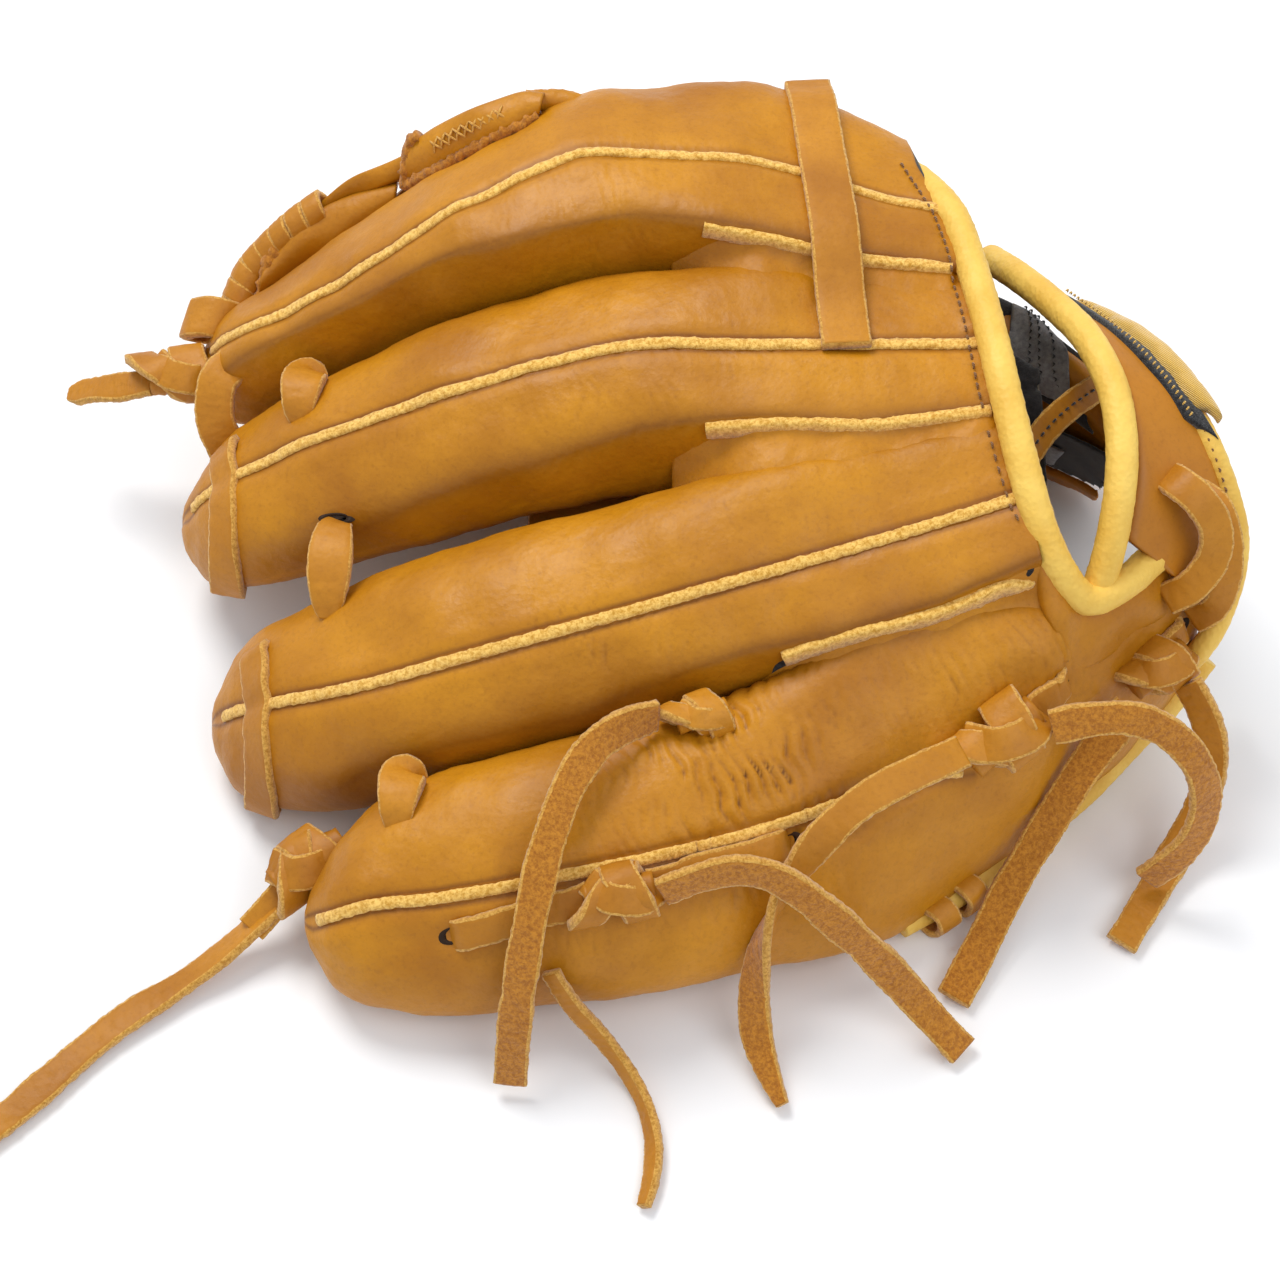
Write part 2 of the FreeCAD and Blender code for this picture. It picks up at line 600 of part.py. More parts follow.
def build_knots():
    """Each knot is a rounded block of the lace's own size, bound to the sheet."""
    for name, (centre, yaw, pitch) in KNOTS.items():
        block = doc.addObject("Part::Box", name + "_block")
        block.setExpression("Length", "sizes.knot_width")
        block.setExpression("Width", "sizes.knot_height")
        block.setExpression("Height", "sizes.knot_height")
        block.setExpression("Placement.Base.x", "-sizes.knot_width / 2")
        block.setExpression("Placement.Base.y", "-sizes.knot_height / 2")
        block.setExpression("Placement.Base.z", "-sizes.knot_height / 2")
        rounded = doc.addObject("Part::Fillet", name)
        rounded.Base = block
        radius = size("knot_round")
        rounded.Edges = [(edge, radius, radius) for edge in range(1, 13)]
        doc.recompute()
        add_object(name, rounded, centre, Rotation(yaw, pitch, 0))


def build_tails():
    for name, points in TAILS.items():
        radius = size("thin_tail_radius") if "thin" in name else size("tail_radius")
        add_shape(name, tube(points, radius, name))
    add_shape("strap_lace_loop", tube(STRAP_LOOP, size("tail_radius") - 0.5))


def check_and_write():
    """Stop on any failed object, then write each sub-part to its own file."""
    doc.recompute()
    for item in doc.Objects:
        if "Invalid" in item.State or "Error" in item.State:
            raise SystemExit(f"{item.Label} failed: {item.State}")
    os.makedirs("parts", exist_ok=True)
    for item in nodes:
        if item.Shape.isNull() or not item.Shape.isValid():
            raise SystemExit(f"{item.Label} has no valid shape")
        item.Shape.exportStep(f"parts/{item.Label}.step")
    print(f"{len(nodes)} sub-parts written")


def main():
    solids = build_fingers()
    build_palm()
    build_heel_linings()
    build_bindings_and_strap()
    build_web()
    build_laces(solids)
    build_tip_strips(solids)
    build_knots()
    build_tails()
    check_and_write()


main()
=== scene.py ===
import bpy
import math
import numpy as np
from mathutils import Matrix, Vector


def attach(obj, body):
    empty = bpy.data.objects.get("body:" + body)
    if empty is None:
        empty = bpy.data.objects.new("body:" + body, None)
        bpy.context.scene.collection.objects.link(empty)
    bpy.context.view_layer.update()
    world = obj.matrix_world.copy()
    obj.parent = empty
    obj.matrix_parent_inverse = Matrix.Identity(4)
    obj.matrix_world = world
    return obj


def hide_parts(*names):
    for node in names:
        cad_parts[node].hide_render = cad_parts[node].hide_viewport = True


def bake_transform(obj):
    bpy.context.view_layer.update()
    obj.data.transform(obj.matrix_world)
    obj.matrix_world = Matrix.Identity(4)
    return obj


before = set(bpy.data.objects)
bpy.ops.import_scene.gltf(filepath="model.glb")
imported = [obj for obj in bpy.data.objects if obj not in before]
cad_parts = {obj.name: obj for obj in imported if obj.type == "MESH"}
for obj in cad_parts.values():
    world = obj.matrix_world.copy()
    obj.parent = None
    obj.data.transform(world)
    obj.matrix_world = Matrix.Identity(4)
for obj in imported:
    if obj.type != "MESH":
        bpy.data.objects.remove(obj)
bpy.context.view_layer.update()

# The glove is described in millimetres, with the floor at z = 0, the fingers to -X, the wrist to +X and the
# thumb and web to +Y. SHIFT takes it to the middle of the frame.
SHIFT = np.array([-8.9, -35.8, 0.0])
CAMERA_ELEVATION = 55.0
CAMERA_DISTANCE = 0.5778
CAMERA_TARGET = (0, 0, 45)
TILT = math.radians(CAMERA_ELEVATION)
TO_CAMERA = np.array([0.0, -math.cos(TILT), math.sin(TILT)])
UP = np.array([0.0, 0.0, 1.0])


def place(points):
    """Millimetres of the glove's own description to metres in the frame."""
    return (np.asarray(points, float) + SHIFT) / 1000


# ---------------------------------------------------------------- stations of the glove

# Stall sections: (x, centre y, centre z, half width, half height, roll in degrees).
INDEX = [(-118, 95, 39, 9, 8, 0), (-113, 94, 42, 16, 13, 0), (-104, 93.5, 46, 21, 16.5, 0),
         (-80, 95, 57, 27, 20, -2), (-45, 101, 78, 31, 22, -4), (-8, 111, 87.5, 36, 21.5, -6),
         (28, 111, 89, 36, 17, -6), (62, 104, 88, 30, 12, -6), (104, 90, 88, 20, 7, -6)]
MIDDLE = [(-121, 52, 23, 10, 9, 10), (-116, 52, 26, 17, 14, 10), (-107, 53, 31, 23, 18, 12),
          (-82, 55, 44, 27, 21, 14), (-47, 56, 61, 29, 22, 16), (-8, 59, 73, 29, 21, 14),
          (28, 56, 80, 27, 17, 12), (60, 55, 84, 24, 11, 8), (104, 54, 90, 22, 7, 4)]
RING = [(-109, -4, 12, 10, 9, 20), (-104, -4, 14, 18, 13, 22), (-95, -5, 18, 24, 17, 24),
        (-74, -6, 28, 28, 20, 28), (-46, -4, 40, 30, 22, 32), (-8, 1, 51, 29, 21, 32),
        (28, 6, 61, 27, 17, 30), (62, 11, 70, 24, 11, 24), (108, 20, 82, 20, 7, 18)]
LITTLE = [(-79, -64, 17, 10, 8, 30), (-74, -63, 18, 18, 13, 30), (-64, -61, 20, 25, 17, 30),
          (-46, -59, 22, 30, 19, 32), (-12, -53, 25, 33, 21, 33), (25, -44, 28, 36, 20, 36),
          (62, -30, 33, 43, 16, 46), (98, -18, 34, 35, 13, 66), (112, -8, 29, 29, 13, 69),
          (126, 2, 30.5, 28, 11, 72), (142, 14, 37.5, 22.5, 7, 74)]
THUMB = [(-86, 104, 19, 5, 5, -50), (-80, 105, 20, 12, 10, -52), (-70, 107, 23, 18, 13, -56),
         (-48, 114, 30, 23, 15, -62), (-12, 123, 36, 26, 17, -66), (22, 126, 37, 29, 18, -67),
         (58, 121, 35, 33, 17, -67), (96, 105, 31, 35, 14, -65), (122, 84, 30, 31, 10, -62),
         (138, 62, 32, 20, 7, -56)]

# Valley lines between neighbouring fingers, in plan.
INDEX_MIDDLE_VALLEY = [(-140, 80), (-84, 82), (-36, 83), (0, 86), (45, 79), (81, 76), (116, 74)]
MIDDLE_RING_VALLEY = [(-140, 25), (-71, 27), (-35, 29), (0, 33), (53, 31), (86, 34), (116, 33)]
RING_LITTLE_VALLEY = [(-140, -36), (-52, -31), (-19, -28), (19, -20), (41, -16), (72, -9), (96, -1), (116, 8)]
OPEN_ABOVE = [(-140, 190), (200, 190)]
OPEN_BELOW = [(-140, -130), (200, -130)]

# Wrist ends of the back panels, in plan: (y, x).
BACK_END = [(-30, 112), (-7, 96.5), (16, 92), (38, 88.5), (54, 84), (74, 81.5), (95, 78), (113, 71.5),
            (140, 70)]

# The hand opening's rolled edge, along the back panels and then round the heel.
BACK_EDGE = [(73, 113, 92.5), (79.5, 95, 98), (83.5, 74, 98), (86, 54, 98), (88, 38, 96)]
HEEL_EDGE = [(89.5, 30, 94), (92.5, 16, 88), (98, 3, 78), (107, -3, 67), (116.8, 1.3, 66), (126.5, 10.4, 66),
             (135, 16.6, 64)]
# Pairs of points on the wrist strap's edges, the one by the hand opening first, and its lace loop.
STRAP = [
    ((98.4, 91, 80), (117, 84, 64)), ((104.5, 75, 87), (121, 70, 78)), ((110.3, 56.6, 94), (128, 54, 86)),
    ((114.2, 41, 95), (137.5, 36, 84)), ((115.6, 28.4, 92), (146, 22, 70)),
    ((115.2, 17.7, 87), (148.4, 14.6, 58)), ((113.9, 9, 79), (145.7, 6.4, 46)),
]
STRAP_LOOP = [(127, 25, 80), (129.5, 18, 85), (134, 13.5, 84), (138.5, 10, 78), (139, 6.6, 70),
              (135, 3.6, 63), (130, 4, 57)]
STRAP_UNDER = [(134, 22, 78), (139, 15, 80), (142.5, 9.7, 73), (143.4, 5.2, 64), (142, 3.0, 55),
               (138, 3.4, 49)]
# The heel's rolled edge on the little-finger side, lying near the floor.
HEEL_ROLL = [(66, -64, 3.4), (84, -53, 3.4), (99, -40, 3.6), (114, -28, 4.5), (128, -14, 6.5), (140, -3, 12),
             (148, 4, 22)]
# Rows across the web: its edge by the index finger, its middle and its edge by the thumb.
WEB = [
    ((-97, 121, 52), (-95, 124, 39), (-91, 120, 27)),
    ((-75, 128, 65), (-75, 131, 48), (-75, 125, 31)),
    ((-50, 138.5, 82), (-50, 142, 62), (-48, 136, 41)),
    ((-24, 146.5, 90), (-24, 150, 69), (-24, 142, 48)),
    ((-8, 150, 90), (-8, 152.5, 71), (-8, 146, 52)),
]

# Pairs of points on the edges of the panel between the index finger and the thumb.
CROTCH = [
    ((-3, 150.5, 88), (-3, 146, 52)),
    ((20, 150.5, 86), (20, 148, 51)),
    ((50, 142.5, 86), (50, 144, 51)),
    ((70, 133, 87), (74, 136, 51)),
]

# The route of each free lace end, from its knot outwards.
TAILS = {
    "little_tip_tail": [(-90, -57, 12), (-99, -64, 7), (-112, -74, 3.5), (-127, -84, 3), (-141, -99, 3),
                        (-153, -112, 3), (-167, -122, 3), (-181, -128, 3)],
    "knuckle_tail": [(4, -31, 58), (-6, -36, 61), (-15, -46, 59), (-21, -61, 54), (-25, -76, 45),
                     (-28, -88, 32), (-30, -96, 18), (-31, -101, 5)],
    "side_tail": [(5, -72, 46), (14, -70, 50), (24, -69, 52), (34, -71, 49.5), (46, -76, 39), (59, -80, 23),
                  (69, -85, 10), (78, -92, 3)],
    "side_thin_tail": [(-21, -84, 29), (-17, -88.5, 22), (-10, -91.5, 12), (-3, -98, 5), (2, -107, 2.5),
                       (4, -120, 2.5), (1, -131, 2.5)],
    "heel_left_tail": [(76, -40, 56), (64, -47, 58), (52, -53, 56), (41, -61, 50), (33, -69, 39),
                       (28, -77, 26), (27, -86, 13), (29, -95, 5.5), (34, -106, 3)],
    "heel_right_tail": [(98, -33, 56), (110, -32, 60), (123, -33, 58), (134, -37, 48), (139, -41, 33),
                        (135, -47, 19), (127, -48, 9.5)],
    "wrist_suede_tail": [(121, -18, 41), (112, -27, 36), (105, -35, 26), (98, -43, 15), (91, -53, 9.5),
                         (84, -66, 4), (77, -78, 3)],
    "wrist_grain_tail": [(136, -11, 42), (141, -17, 37), (144, -24, 27), (142, -31, 14), (136, -39, 5),
                         (128, -51, 3), (120, -63, 3)],
    "index_tip_tail": [(-133, 87, 43), (-141, 87, 41), (-150, 90, 37), (-158, 92, 32)],
}


# ---------------------------------------------------------------- camera, light and floor

def make_camera():
    scene = bpy.context.scene
    data = bpy.data.cameras.new("camera")
    data.lens = 65
    data.sensor_width = 36
    data.clip_end = 20
    camera = bpy.data.objects.new("camera", data)
    camera.location = Vector(place(CAMERA_TARGET)) + Vector(TO_CAMERA) * CAMERA_DISTANCE
    camera.rotation_euler = (math.radians(90 - CAMERA_ELEVATION), 0, 0)
    scene.collection.objects.link(camera)
    scene.camera = camera


def area_light(name, position, target, extent, power, colour):
    data = bpy.data.lights.new(name, "AREA")
    data.shape = "DISK"
    data.size = extent
    data.energy = power
    data.color = colour
    lamp = bpy.data.objects.new(name, data)
    lamp.location = position
    direction = Vector(target) - Vector(position)
    lamp.rotation_euler = direction.to_track_quat("-Z", "Y").to_euler()
    bpy.context.scene.collection.objects.link(lamp)


def make_studio():
    world = bpy.data.worlds.new("studio")
    world.use_nodes = True
    background = world.node_tree.nodes["Background"]
    background.inputs["Color"].default_value = (0.93, 0.96, 1.0, 1)
    background.inputs["Strength"].default_value = 0.72
    bpy.context.scene.world = world
    bpy.context.scene.view_settings.view_transform = "Standard"
    area_light("key", (-0.35, 0.45, 1.05), (0, 0, 0.05), 0.55, 8.5, (1.0, 0.985, 0.95))
    area_light("fill", (0.55, -0.5, 0.9), (0, 0, 0.04), 0.8, 3.0, (0.96, 0.98, 1.0))
    mesh = bpy.data.meshes.new("floor")
    mesh.from_pydata([(-4, -4, 0), (4, -4, 0), (4, 4, 0), (-4, 4, 0)], [], [(0, 1, 2, 3)])
    floor = bpy.data.objects.new("floor", mesh)
    bpy.context.scene.collection.objects.link(floor)
    mesh.materials.append(floor_paper())


# ---------------------------------------------------------------- shader building

class Shader:
    """A node material built one node at a time."""

    def __init__(self, name):
        self.material = bpy.data.materials.new(name)
        self.material.use_nodes = True
        self.tree = self.material.node_tree
        self.surface = self.tree.nodes["Principled BSDF"]
        self.place = self.add("ShaderNodeTexCoord").outputs["Object"]

    def add(self, kind, settings=None, **sockets):
        node = self.tree.nodes.new(kind)
        for key, value in (settings or {}).items():
            setattr(node, key, value)
        for key, value in sockets.items():
            self.set(node, key.replace("_", " "), value)
        return node

    def set(self, node, socket, value):
        target = node.inputs[int(socket) if socket.isdigit() else socket]
        if isinstance(value, bpy.types.NodeSocket):
            self.tree.links.new(value, target)
        else:
            target.default_value = value

    def noise(self, scale, detail=3.0, rough=0.55):
        return self.add("ShaderNodeTexNoise", Vector=self.place, Scale=scale, Detail=detail,
                        Roughness=rough).outputs["Fac"]

    def cells(self, scale):
        return self.add("ShaderNodeTexVoronoi", Vector=self.place, Scale=scale).outputs["Distance"]

    def bands(self, direction, scale, distortion, detail):
        return self.add("ShaderNodeTexWave", {"bands_direction": direction}, Vector=self.place, Scale=scale,
                        Distortion=distortion, Detail=detail).outputs["Fac"]

    def ramp(self, value, stops):
        node = self.add("ShaderNodeValToRGB", Fac=value)
        elements = node.color_ramp.elements
        while len(elements) < len(stops):
            elements.new(0.5)
        for element, (position, colour) in zip(elements, stops):
            element.position = position
            element.color = tuple(colour) + (1,)
        return node.outputs["Color"]

    def level(self, value, low, high, start=0.0, end=1.0):
        return self.add("ShaderNodeMapRange", Value=value, From_Min=start, From_Max=end, To_Min=low,
                        To_Max=high).outputs["Result"]

    def mix(self, amount, first, second):
        node = self.add("ShaderNodeMix", {"data_type": "RGBA"})
        for socket, value in (("0", amount), ("6", first), ("7", second)):
            self.set(node, socket, value + (1,) if isinstance(value, tuple) else value)
        return node.outputs[2]

    def mark(self, name):
        """A number kept on the mesh's points."""
        return self.add("ShaderNodeAttribute", {"attribute_name": name}).outputs["Fac"]

    def bump(self, height, depth_mm, strength=1.0, below=None):
        node = self.add("ShaderNodeBump", Height=height, Strength=strength, Distance=depth_mm / 1000)
        if below is not None:
            self.tree.links.new(below, node.inputs["Normal"])
        return node.outputs["Normal"]

    def finish(self, colour, rough, normal=None, **plain):
        self.set(self.surface, "Base Color", colour)
        self.set(self.surface, "Roughness", rough)
        if normal is not None:
            self.set(self.surface, "Normal", normal)
        for key, value in plain.items():
            self.surface.inputs[key.replace("_", " ")].default_value = value
        return self.material


def floor_paper():
    shader = Shader("floor_paper")
    colour = shader.ramp(shader.noise(9, 2), [(0.3, (0.90, 0.91, 0.93)), (0.7, (0.93, 0.935, 0.95))])
    return shader.finish(colour, 0.9, Specular_IOR_Level=0.1)


def smooth_leather(name, dark, light, painted_shade_and_pores, rough=0.42, grain=0.06, coat=0.08):
    """Oiled tan leather: slow mottling, fine pores, a faint pebble, and painted shade where the mesh's shade
    mark is high.
    """
    shader = Shader(name)
    slow = shader.noise(26, 5, 0.6)
    colour = shader.ramp(slow, [(0.34, dark), (0.62, light)])
    # Fine pores in the darkest colour, the same colour that paints the shade below.
    specks = shader.level(shader.noise(900, 3, 0.6), 0.0, 0.22, 0.52, 0.75)
    colour = shader.mix(specks, colour, painted_shade_and_pores)
    # Painted shade: the darkest colour laid where the mesh's shade mark is high, in creases, valleys and
    # hollows.
    colour = shader.mix(shader.mark("painted_shade_and_pores"), colour, painted_shade_and_pores)
    fine = shader.level(shader.noise(480, 4, 0.7), 0.0, 0.42, 0.5, 0.78)
    colour = shader.mix(fine, colour, dark)
    pebble = shader.cells(620)
    pores = shader.noise(1500, 4, 0.7)
    creases = shader.noise(150, 6, 0.68)
    normal = shader.bump(pebble, grain * 1.4, 0.5)
    normal = shader.bump(pores, grain, 0.7, normal)
    normal = shader.bump(creases, grain * 3.2, 0.45, normal)
    gloss = shader.level(shader.noise(60, 4), rough - 0.06, rough + 0.10, 0.3, 0.7)
    return shader.finish(colour, gloss, normal, Coat_Weight=coat, Coat_Roughness=0.32,
                         Specular_IOR_Level=0.34)


def raw_edge(name, dark, light, depth=0.35, scale=950):
    """The cut, fuzzy flesh edge of leather."""
    shader = Shader(name)
    fibres = shader.noise(scale, 4, 0.75)
    blots = shader.noise(240, 3, 0.6)
    colour = shader.ramp(fibres, [(0.38, dark), (0.60, light)])
    colour = shader.mix(shader.level(blots, 0.0, 0.2, 0.5, 0.75), colour, dark)
    normal = shader.bump(fibres, depth, 0.9)
    normal = shader.bump(blots, depth * 1.6, 0.7, normal)
    return shader.finish(colour, 0.93, normal, Specular_IOR_Level=0.12, Sheen_Weight=0.25,
                         Sheen_Roughness=0.6)


def pebbled_leather(name, dark, light, painted_shade_and_pores):
    """Soft binding leather with a visible pebble and fine creases round the roll."""
    shader = Shader(name)
    colour = shader.ramp(shader.noise(70, 4), [(0.3, dark), (0.68, light)])
    cells = shader.cells(700)
    colour = shader.mix(shader.level(cells, 0.35, 0.0, 0.0, 0.35), colour, light)
    # Painted shade where the mesh's shade mark is high.
    colour = shader.mix(shader.mark("painted_shade_and_pores"), colour, painted_shade_and_pores)
    normal = shader.bump(cells, 0.28, 0.6)
    normal = shader.bump(shader.noise(420, 4, 0.7), 0.3, 0.6, normal)
    return shader.finish(colour, 0.52, normal, Specular_IOR_Level=0.35)


def woven_cloth(name, dark, light, depth=0.2, scale=1300, rough=0.95, sheen=0.2):
    shader = Shader(name)
    weave = shader.add("ShaderNodeMath", {"operation": "MULTIPLY"})
    shader.set(weave, "0", shader.bands("X", scale, 2.5, 2.0))
    shader.set(weave, "1", shader.bands("Y", scale, 2.5, 2.0))
    fluff = shader.noise(700, 4, 0.7)
    colour = shader.ramp(fluff, [(0.35, dark), (0.65, light)])
    normal = shader.bump(weave.outputs[0], depth, 0.6)
    normal = shader.bump(fluff, depth * 2, 0.7, normal)
    return shader.finish(colour, rough, normal, Specular_IOR_Level=0.15, Sheen_Weight=sheen)


def satin_thread(name, dark, light):
    """Embroidery: fine parallel threads with a soft shine."""
    shader = Shader(name)
    strands = shader.bands("DIAGONAL", 900, 1.5, 1.0)
    colour = shader.ramp(strands, [(0.1, dark), (0.8, light)])
    normal = shader.bump(strands, 0.2, 0.8)
    return shader.finish(colour, 0.38, normal, Specular_IOR_Level=0.5, Sheen_Weight=0.3)


# In the smooth and pebbled leathers the third colour is the darkest: it paints the shade where the mesh's
# shade mark is high, and in smooth leather it also tints the pores.
M = {
    "shell": smooth_leather("shell_leather", (0.385, 0.139, 0.002), (0.550, 0.225, 0.004),
                            (0.165, 0.047, 0.001), 0.44, 0.11, 0.03),
    "palm": smooth_leather("palm_leather", (0.38, 0.130, 0.006), (0.50, 0.190, 0.014), (0.16, 0.05, 0.003)),
    "strap": smooth_leather("strap_leather", (0.42, 0.150, 0.006), (0.54, 0.210, 0.012), (0.19, 0.06, 0.003)),
    "lace": smooth_leather("lace_grain", (0.38, 0.138, 0.004), (0.54, 0.220, 0.010), (0.20, 0.065, 0.003),
                           0.48, 0.10, 0.03),
    "suede": raw_edge("lace_suede", (0.33, 0.108, 0.005), (0.54, 0.215, 0.016), 0.4, 1000),
    "edge": raw_edge("cut_edge", (0.42, 0.18, 0.015), (0.70, 0.39, 0.08), 0.22, 1300),
    "welt": raw_edge("welt_strip", (0.56, 0.27, 0.025), (0.92, 0.58, 0.15), 0.30, 1000),
    "binding": pebbled_leather("binding_leather", (0.74, 0.43, 0.06), (0.87, 0.58, 0.12), (0.42, 0.19, 0.02)),
    "lining": woven_cloth("dark_lining", (0.010, 0.009, 0.010), (0.030, 0.027, 0.028), 0.15),
    "felt": woven_cloth("felt", (0.36, 0.31, 0.21), (0.52, 0.45, 0.33), 0.4),
    "black_felt": woven_cloth("patch_felt", (0.006, 0.006, 0.007), (0.032, 0.034, 0.038), 0.35, 900, 0.9,
                              0.35),
    "gold": satin_thread("gold_thread", (0.50, 0.25, 0.03), (0.88, 0.58, 0.12)),
    "label": woven_cloth("label_cloth", (0.20, 0.20, 0.21), (0.34, 0.34, 0.35), 0.2),
    "thread": satin_thread("tan_thread", (0.14, 0.055, 0.012), (0.30, 0.13, 0.03)),
    "black_thread": satin_thread("black_thread", (0.010, 0.010, 0.011), (0.05, 0.05, 0.05)),
    "hole": smooth_leather("hole_shadow", (0.020, 0.008, 0.002), (0.035, 0.013, 0.003), (0.01, 0.004, 0.001),
                           0.9),
}
# Lines where pieces bend between the hand and another body, each given by two points.
VALLEY_FOLD = ((60, 42, 84), (60, 24, 84))
EDGE_FOLD = ((94, 40, 96), (96, 20, 90))
STRAP_FOLD = ((130, 26, 86), (130, 6, 62))
WEB_FOLD = ((-20, 142, 84), (-20, 142, 48))

# The sides of a lace in strip_outline's order, the same with the flesh side out, and the sides of a panel.
LACE = [M["lace"], M["suede"], M["edge"]]
FLESH_LACE = [M["suede"], M["lace"], M["edge"]]
PANEL = [M["shell"], M["suede"]]


def settle(piece, body, slot, *nodes):
    """Attach a piece to its body and hide the CAD nodes that it stands for; the slot is not used."""
    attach(piece, body)
    finish(nodes)


def fold(piece, other, line, slot, *nodes):
    """For a piece that bends from the hand to another body: bake its transform into its mesh and hide the CAD
    nodes that it stands for; other, line and slot are not used.
    """
    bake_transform(piece)
    finish(nodes)


def finish(nodes):
    if nodes:
        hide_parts(*nodes)


# ---------------------------------------------------------------- mesh building

def add_mesh(name, points, faces, materials, slots=None, painted_shade_and_pores=None):
    """A smooth-shaded object from millimetre points."""
    mesh = bpy.data.meshes.new(name)
    mesh.from_pydata(place(points).tolist(), [], faces)
    for material in materials:
        mesh.materials.append(material)
    mesh.polygons.foreach_set("use_smooth", [True] * len(mesh.polygons))
    if slots is not None:
        mesh.polygons.foreach_set("material_index", list(slots))
    # The strength of the painted shade at each point, read by the leather shaders.
    if painted_shade_and_pores is not None:
        mark = mesh.attributes.new("painted_shade_and_pores", "FLOAT", "POINT")
        mark.data.foreach_set("value", np.clip(np.asarray(painted_shade_and_pores, float), 0, 1))
    mesh.validate()
    thing = bpy.data.objects.new(name, mesh)
    bpy.context.scene.collection.objects.link(thing)
    return thing


def loop_faces(rings, across, closed=False):
    """Quads over a run of rings with the same number of points, joined end to end if closed."""
    faces = []
    for i in range(rings if closed else rings - 1):
        here, there = i * across, (i + 1) % rings * across
        for j in range(across):
            k = (j + 1) % across
            faces.append((here + j, here + k, there + k, there + j))
    return faces


def tube_faces(rings, across):
    """Quads over a run of rings, and a face over each end."""
    ends = [tuple(range(across))[::-1], tuple(range((rings - 1) * across, rings * across))]
    return loop_faces(rings, across) + ends


def blend_table(table, at):
    """Smooth, non-overshooting interpolation of station rows at the given first coordinates."""
    rows = np.asarray(table, float)
    x, values = rows[:, 0], rows[:, 1:]
    step = np.diff(x)
    slope = np.diff(values, axis=0) / step[:, None]
    tangent = np.zeros_like(values)
    tangent[0], tangent[-1] = slope[0], slope[-1]
    same = slope[:-1] * slope[1:] > 0
    total = slope[:-1] + slope[1:]
    tangent[1:-1] = np.where(same, 2 * slope[:-1] * slope[1:] / np.where(same, total, 1), 0)
    at = np.clip(np.asarray(at, float), x[0], x[-1])
    k = np.clip(np.searchsorted(x, at, side="right") - 1, 0, len(x) - 2)
    t = ((at - x[k]) / step[k])[..., None]
    h = step[k][..., None]
    return ((2 * t ** 3 - 3 * t ** 2 + 1) * values[k] + (t ** 3 - 2 * t ** 2 + t) * h * tangent[k]
            + (3 * t ** 2 - 2 * t ** 3) * values[k + 1] + (t ** 3 - t ** 2) * h * tangent[k + 1])


def smooth_path(points, count):
    """Evenly spaced points on a smooth curve through the given ones."""
    points = np.asarray(points, float)
    if len(points) == 2:
        return points[0] + (points[1] - points[0]) * np.linspace(0, 1, count)[:, None]
    padded = np.vstack([2 * points[0] - points[1], points, 2 * points[-1] - points[-2]])
    fine = []
    for k in range(len(points) - 1):
        a, b, c, d = padded[k:k + 4]
        for t in np.linspace(0, 1, 24, endpoint=False):
            fine.append(0.5 * (2 * b + (c - a) * t + (2 * a - 5 * b + 4 * c - d) * t * t
                               + (3 * b - a - 3 * c + d) * t ** 3))
    return even(np.vstack([fine, points[-1]]), count)


def resample(values, along, at):
    """Rows of three numbers, known at the places along, interpolated to the places at."""
    return np.stack([np.interp(at, along, values[:, k]) for k in range(3)], axis=1)


def stretch_over(values, count):
    return resample(values, np.linspace(0, 1, len(values)), np.linspace(0, 1, count))


def run_length(points):
    return np.linalg.norm(np.diff(points, axis=0), axis=1).sum()


def even(points, count):
    """The same line with evenly spaced points."""
    along = np.concatenate([[0], np.cumsum(np.linalg.norm(np.diff(points, axis=0), axis=1))])
    return resample(points, along, np.linspace(0, along[-1], count))


def unit(vectors):
    vectors = np.asarray(vectors, float)
    return vectors / np.maximum(np.linalg.norm(vectors, axis=-1, keepdims=True), 1e-9)


def frames(path, ups, closed=False):
    """Tangent, side and lift at each point, with lift as near the given direction as it can be."""
    if closed:
        tangent = unit(np.roll(path, -1, axis=0) - np.roll(path, 1, axis=0))
    else:
        tangent = unit(np.gradient(path, axis=0))
    ups = np.broadcast_to(ups, path.shape)
    side = unit(np.cross(tangent, ups))
    return tangent, side, np.cross(side, tangent)


def facing(vectors, direction):
    """Each vector, turned round where it points away from the direction."""
    return vectors * np.sign(vectors @ np.asarray(direction))[:, None]


def soften(grid):
    """Each inner row and column of a grid drawn toward its neighbours, in place."""
    grid[1:-1] = (grid[:-2] + 2 * grid[1:-1] + grid[2:]) / 4
    grid[:, 1:-1] = (grid[:, :-2] + 2 * grid[:, 1:-1] + grid[:, 2:]) / 4


def ripple(points, wavelength, seed, waves=14):
    """A smooth random field of about unit size with about the given wavelength in millimetres."""
    random = np.random.default_rng(seed)
    directions = unit(random.normal(size=(waves, 3)))
    lengths = wavelength * random.uniform(0.7, 1.5, waves)
    phases = random.uniform(0, 2 * math.pi, waves)
    flat = np.asarray(points, float).reshape(-1, 3)
    value = np.sin(flat @ (directions / lengths[:, None] * 2 * math.pi).T + phases).sum(axis=1)
    return (value / math.sqrt(waves)).reshape(np.asarray(points).shape[:-1])


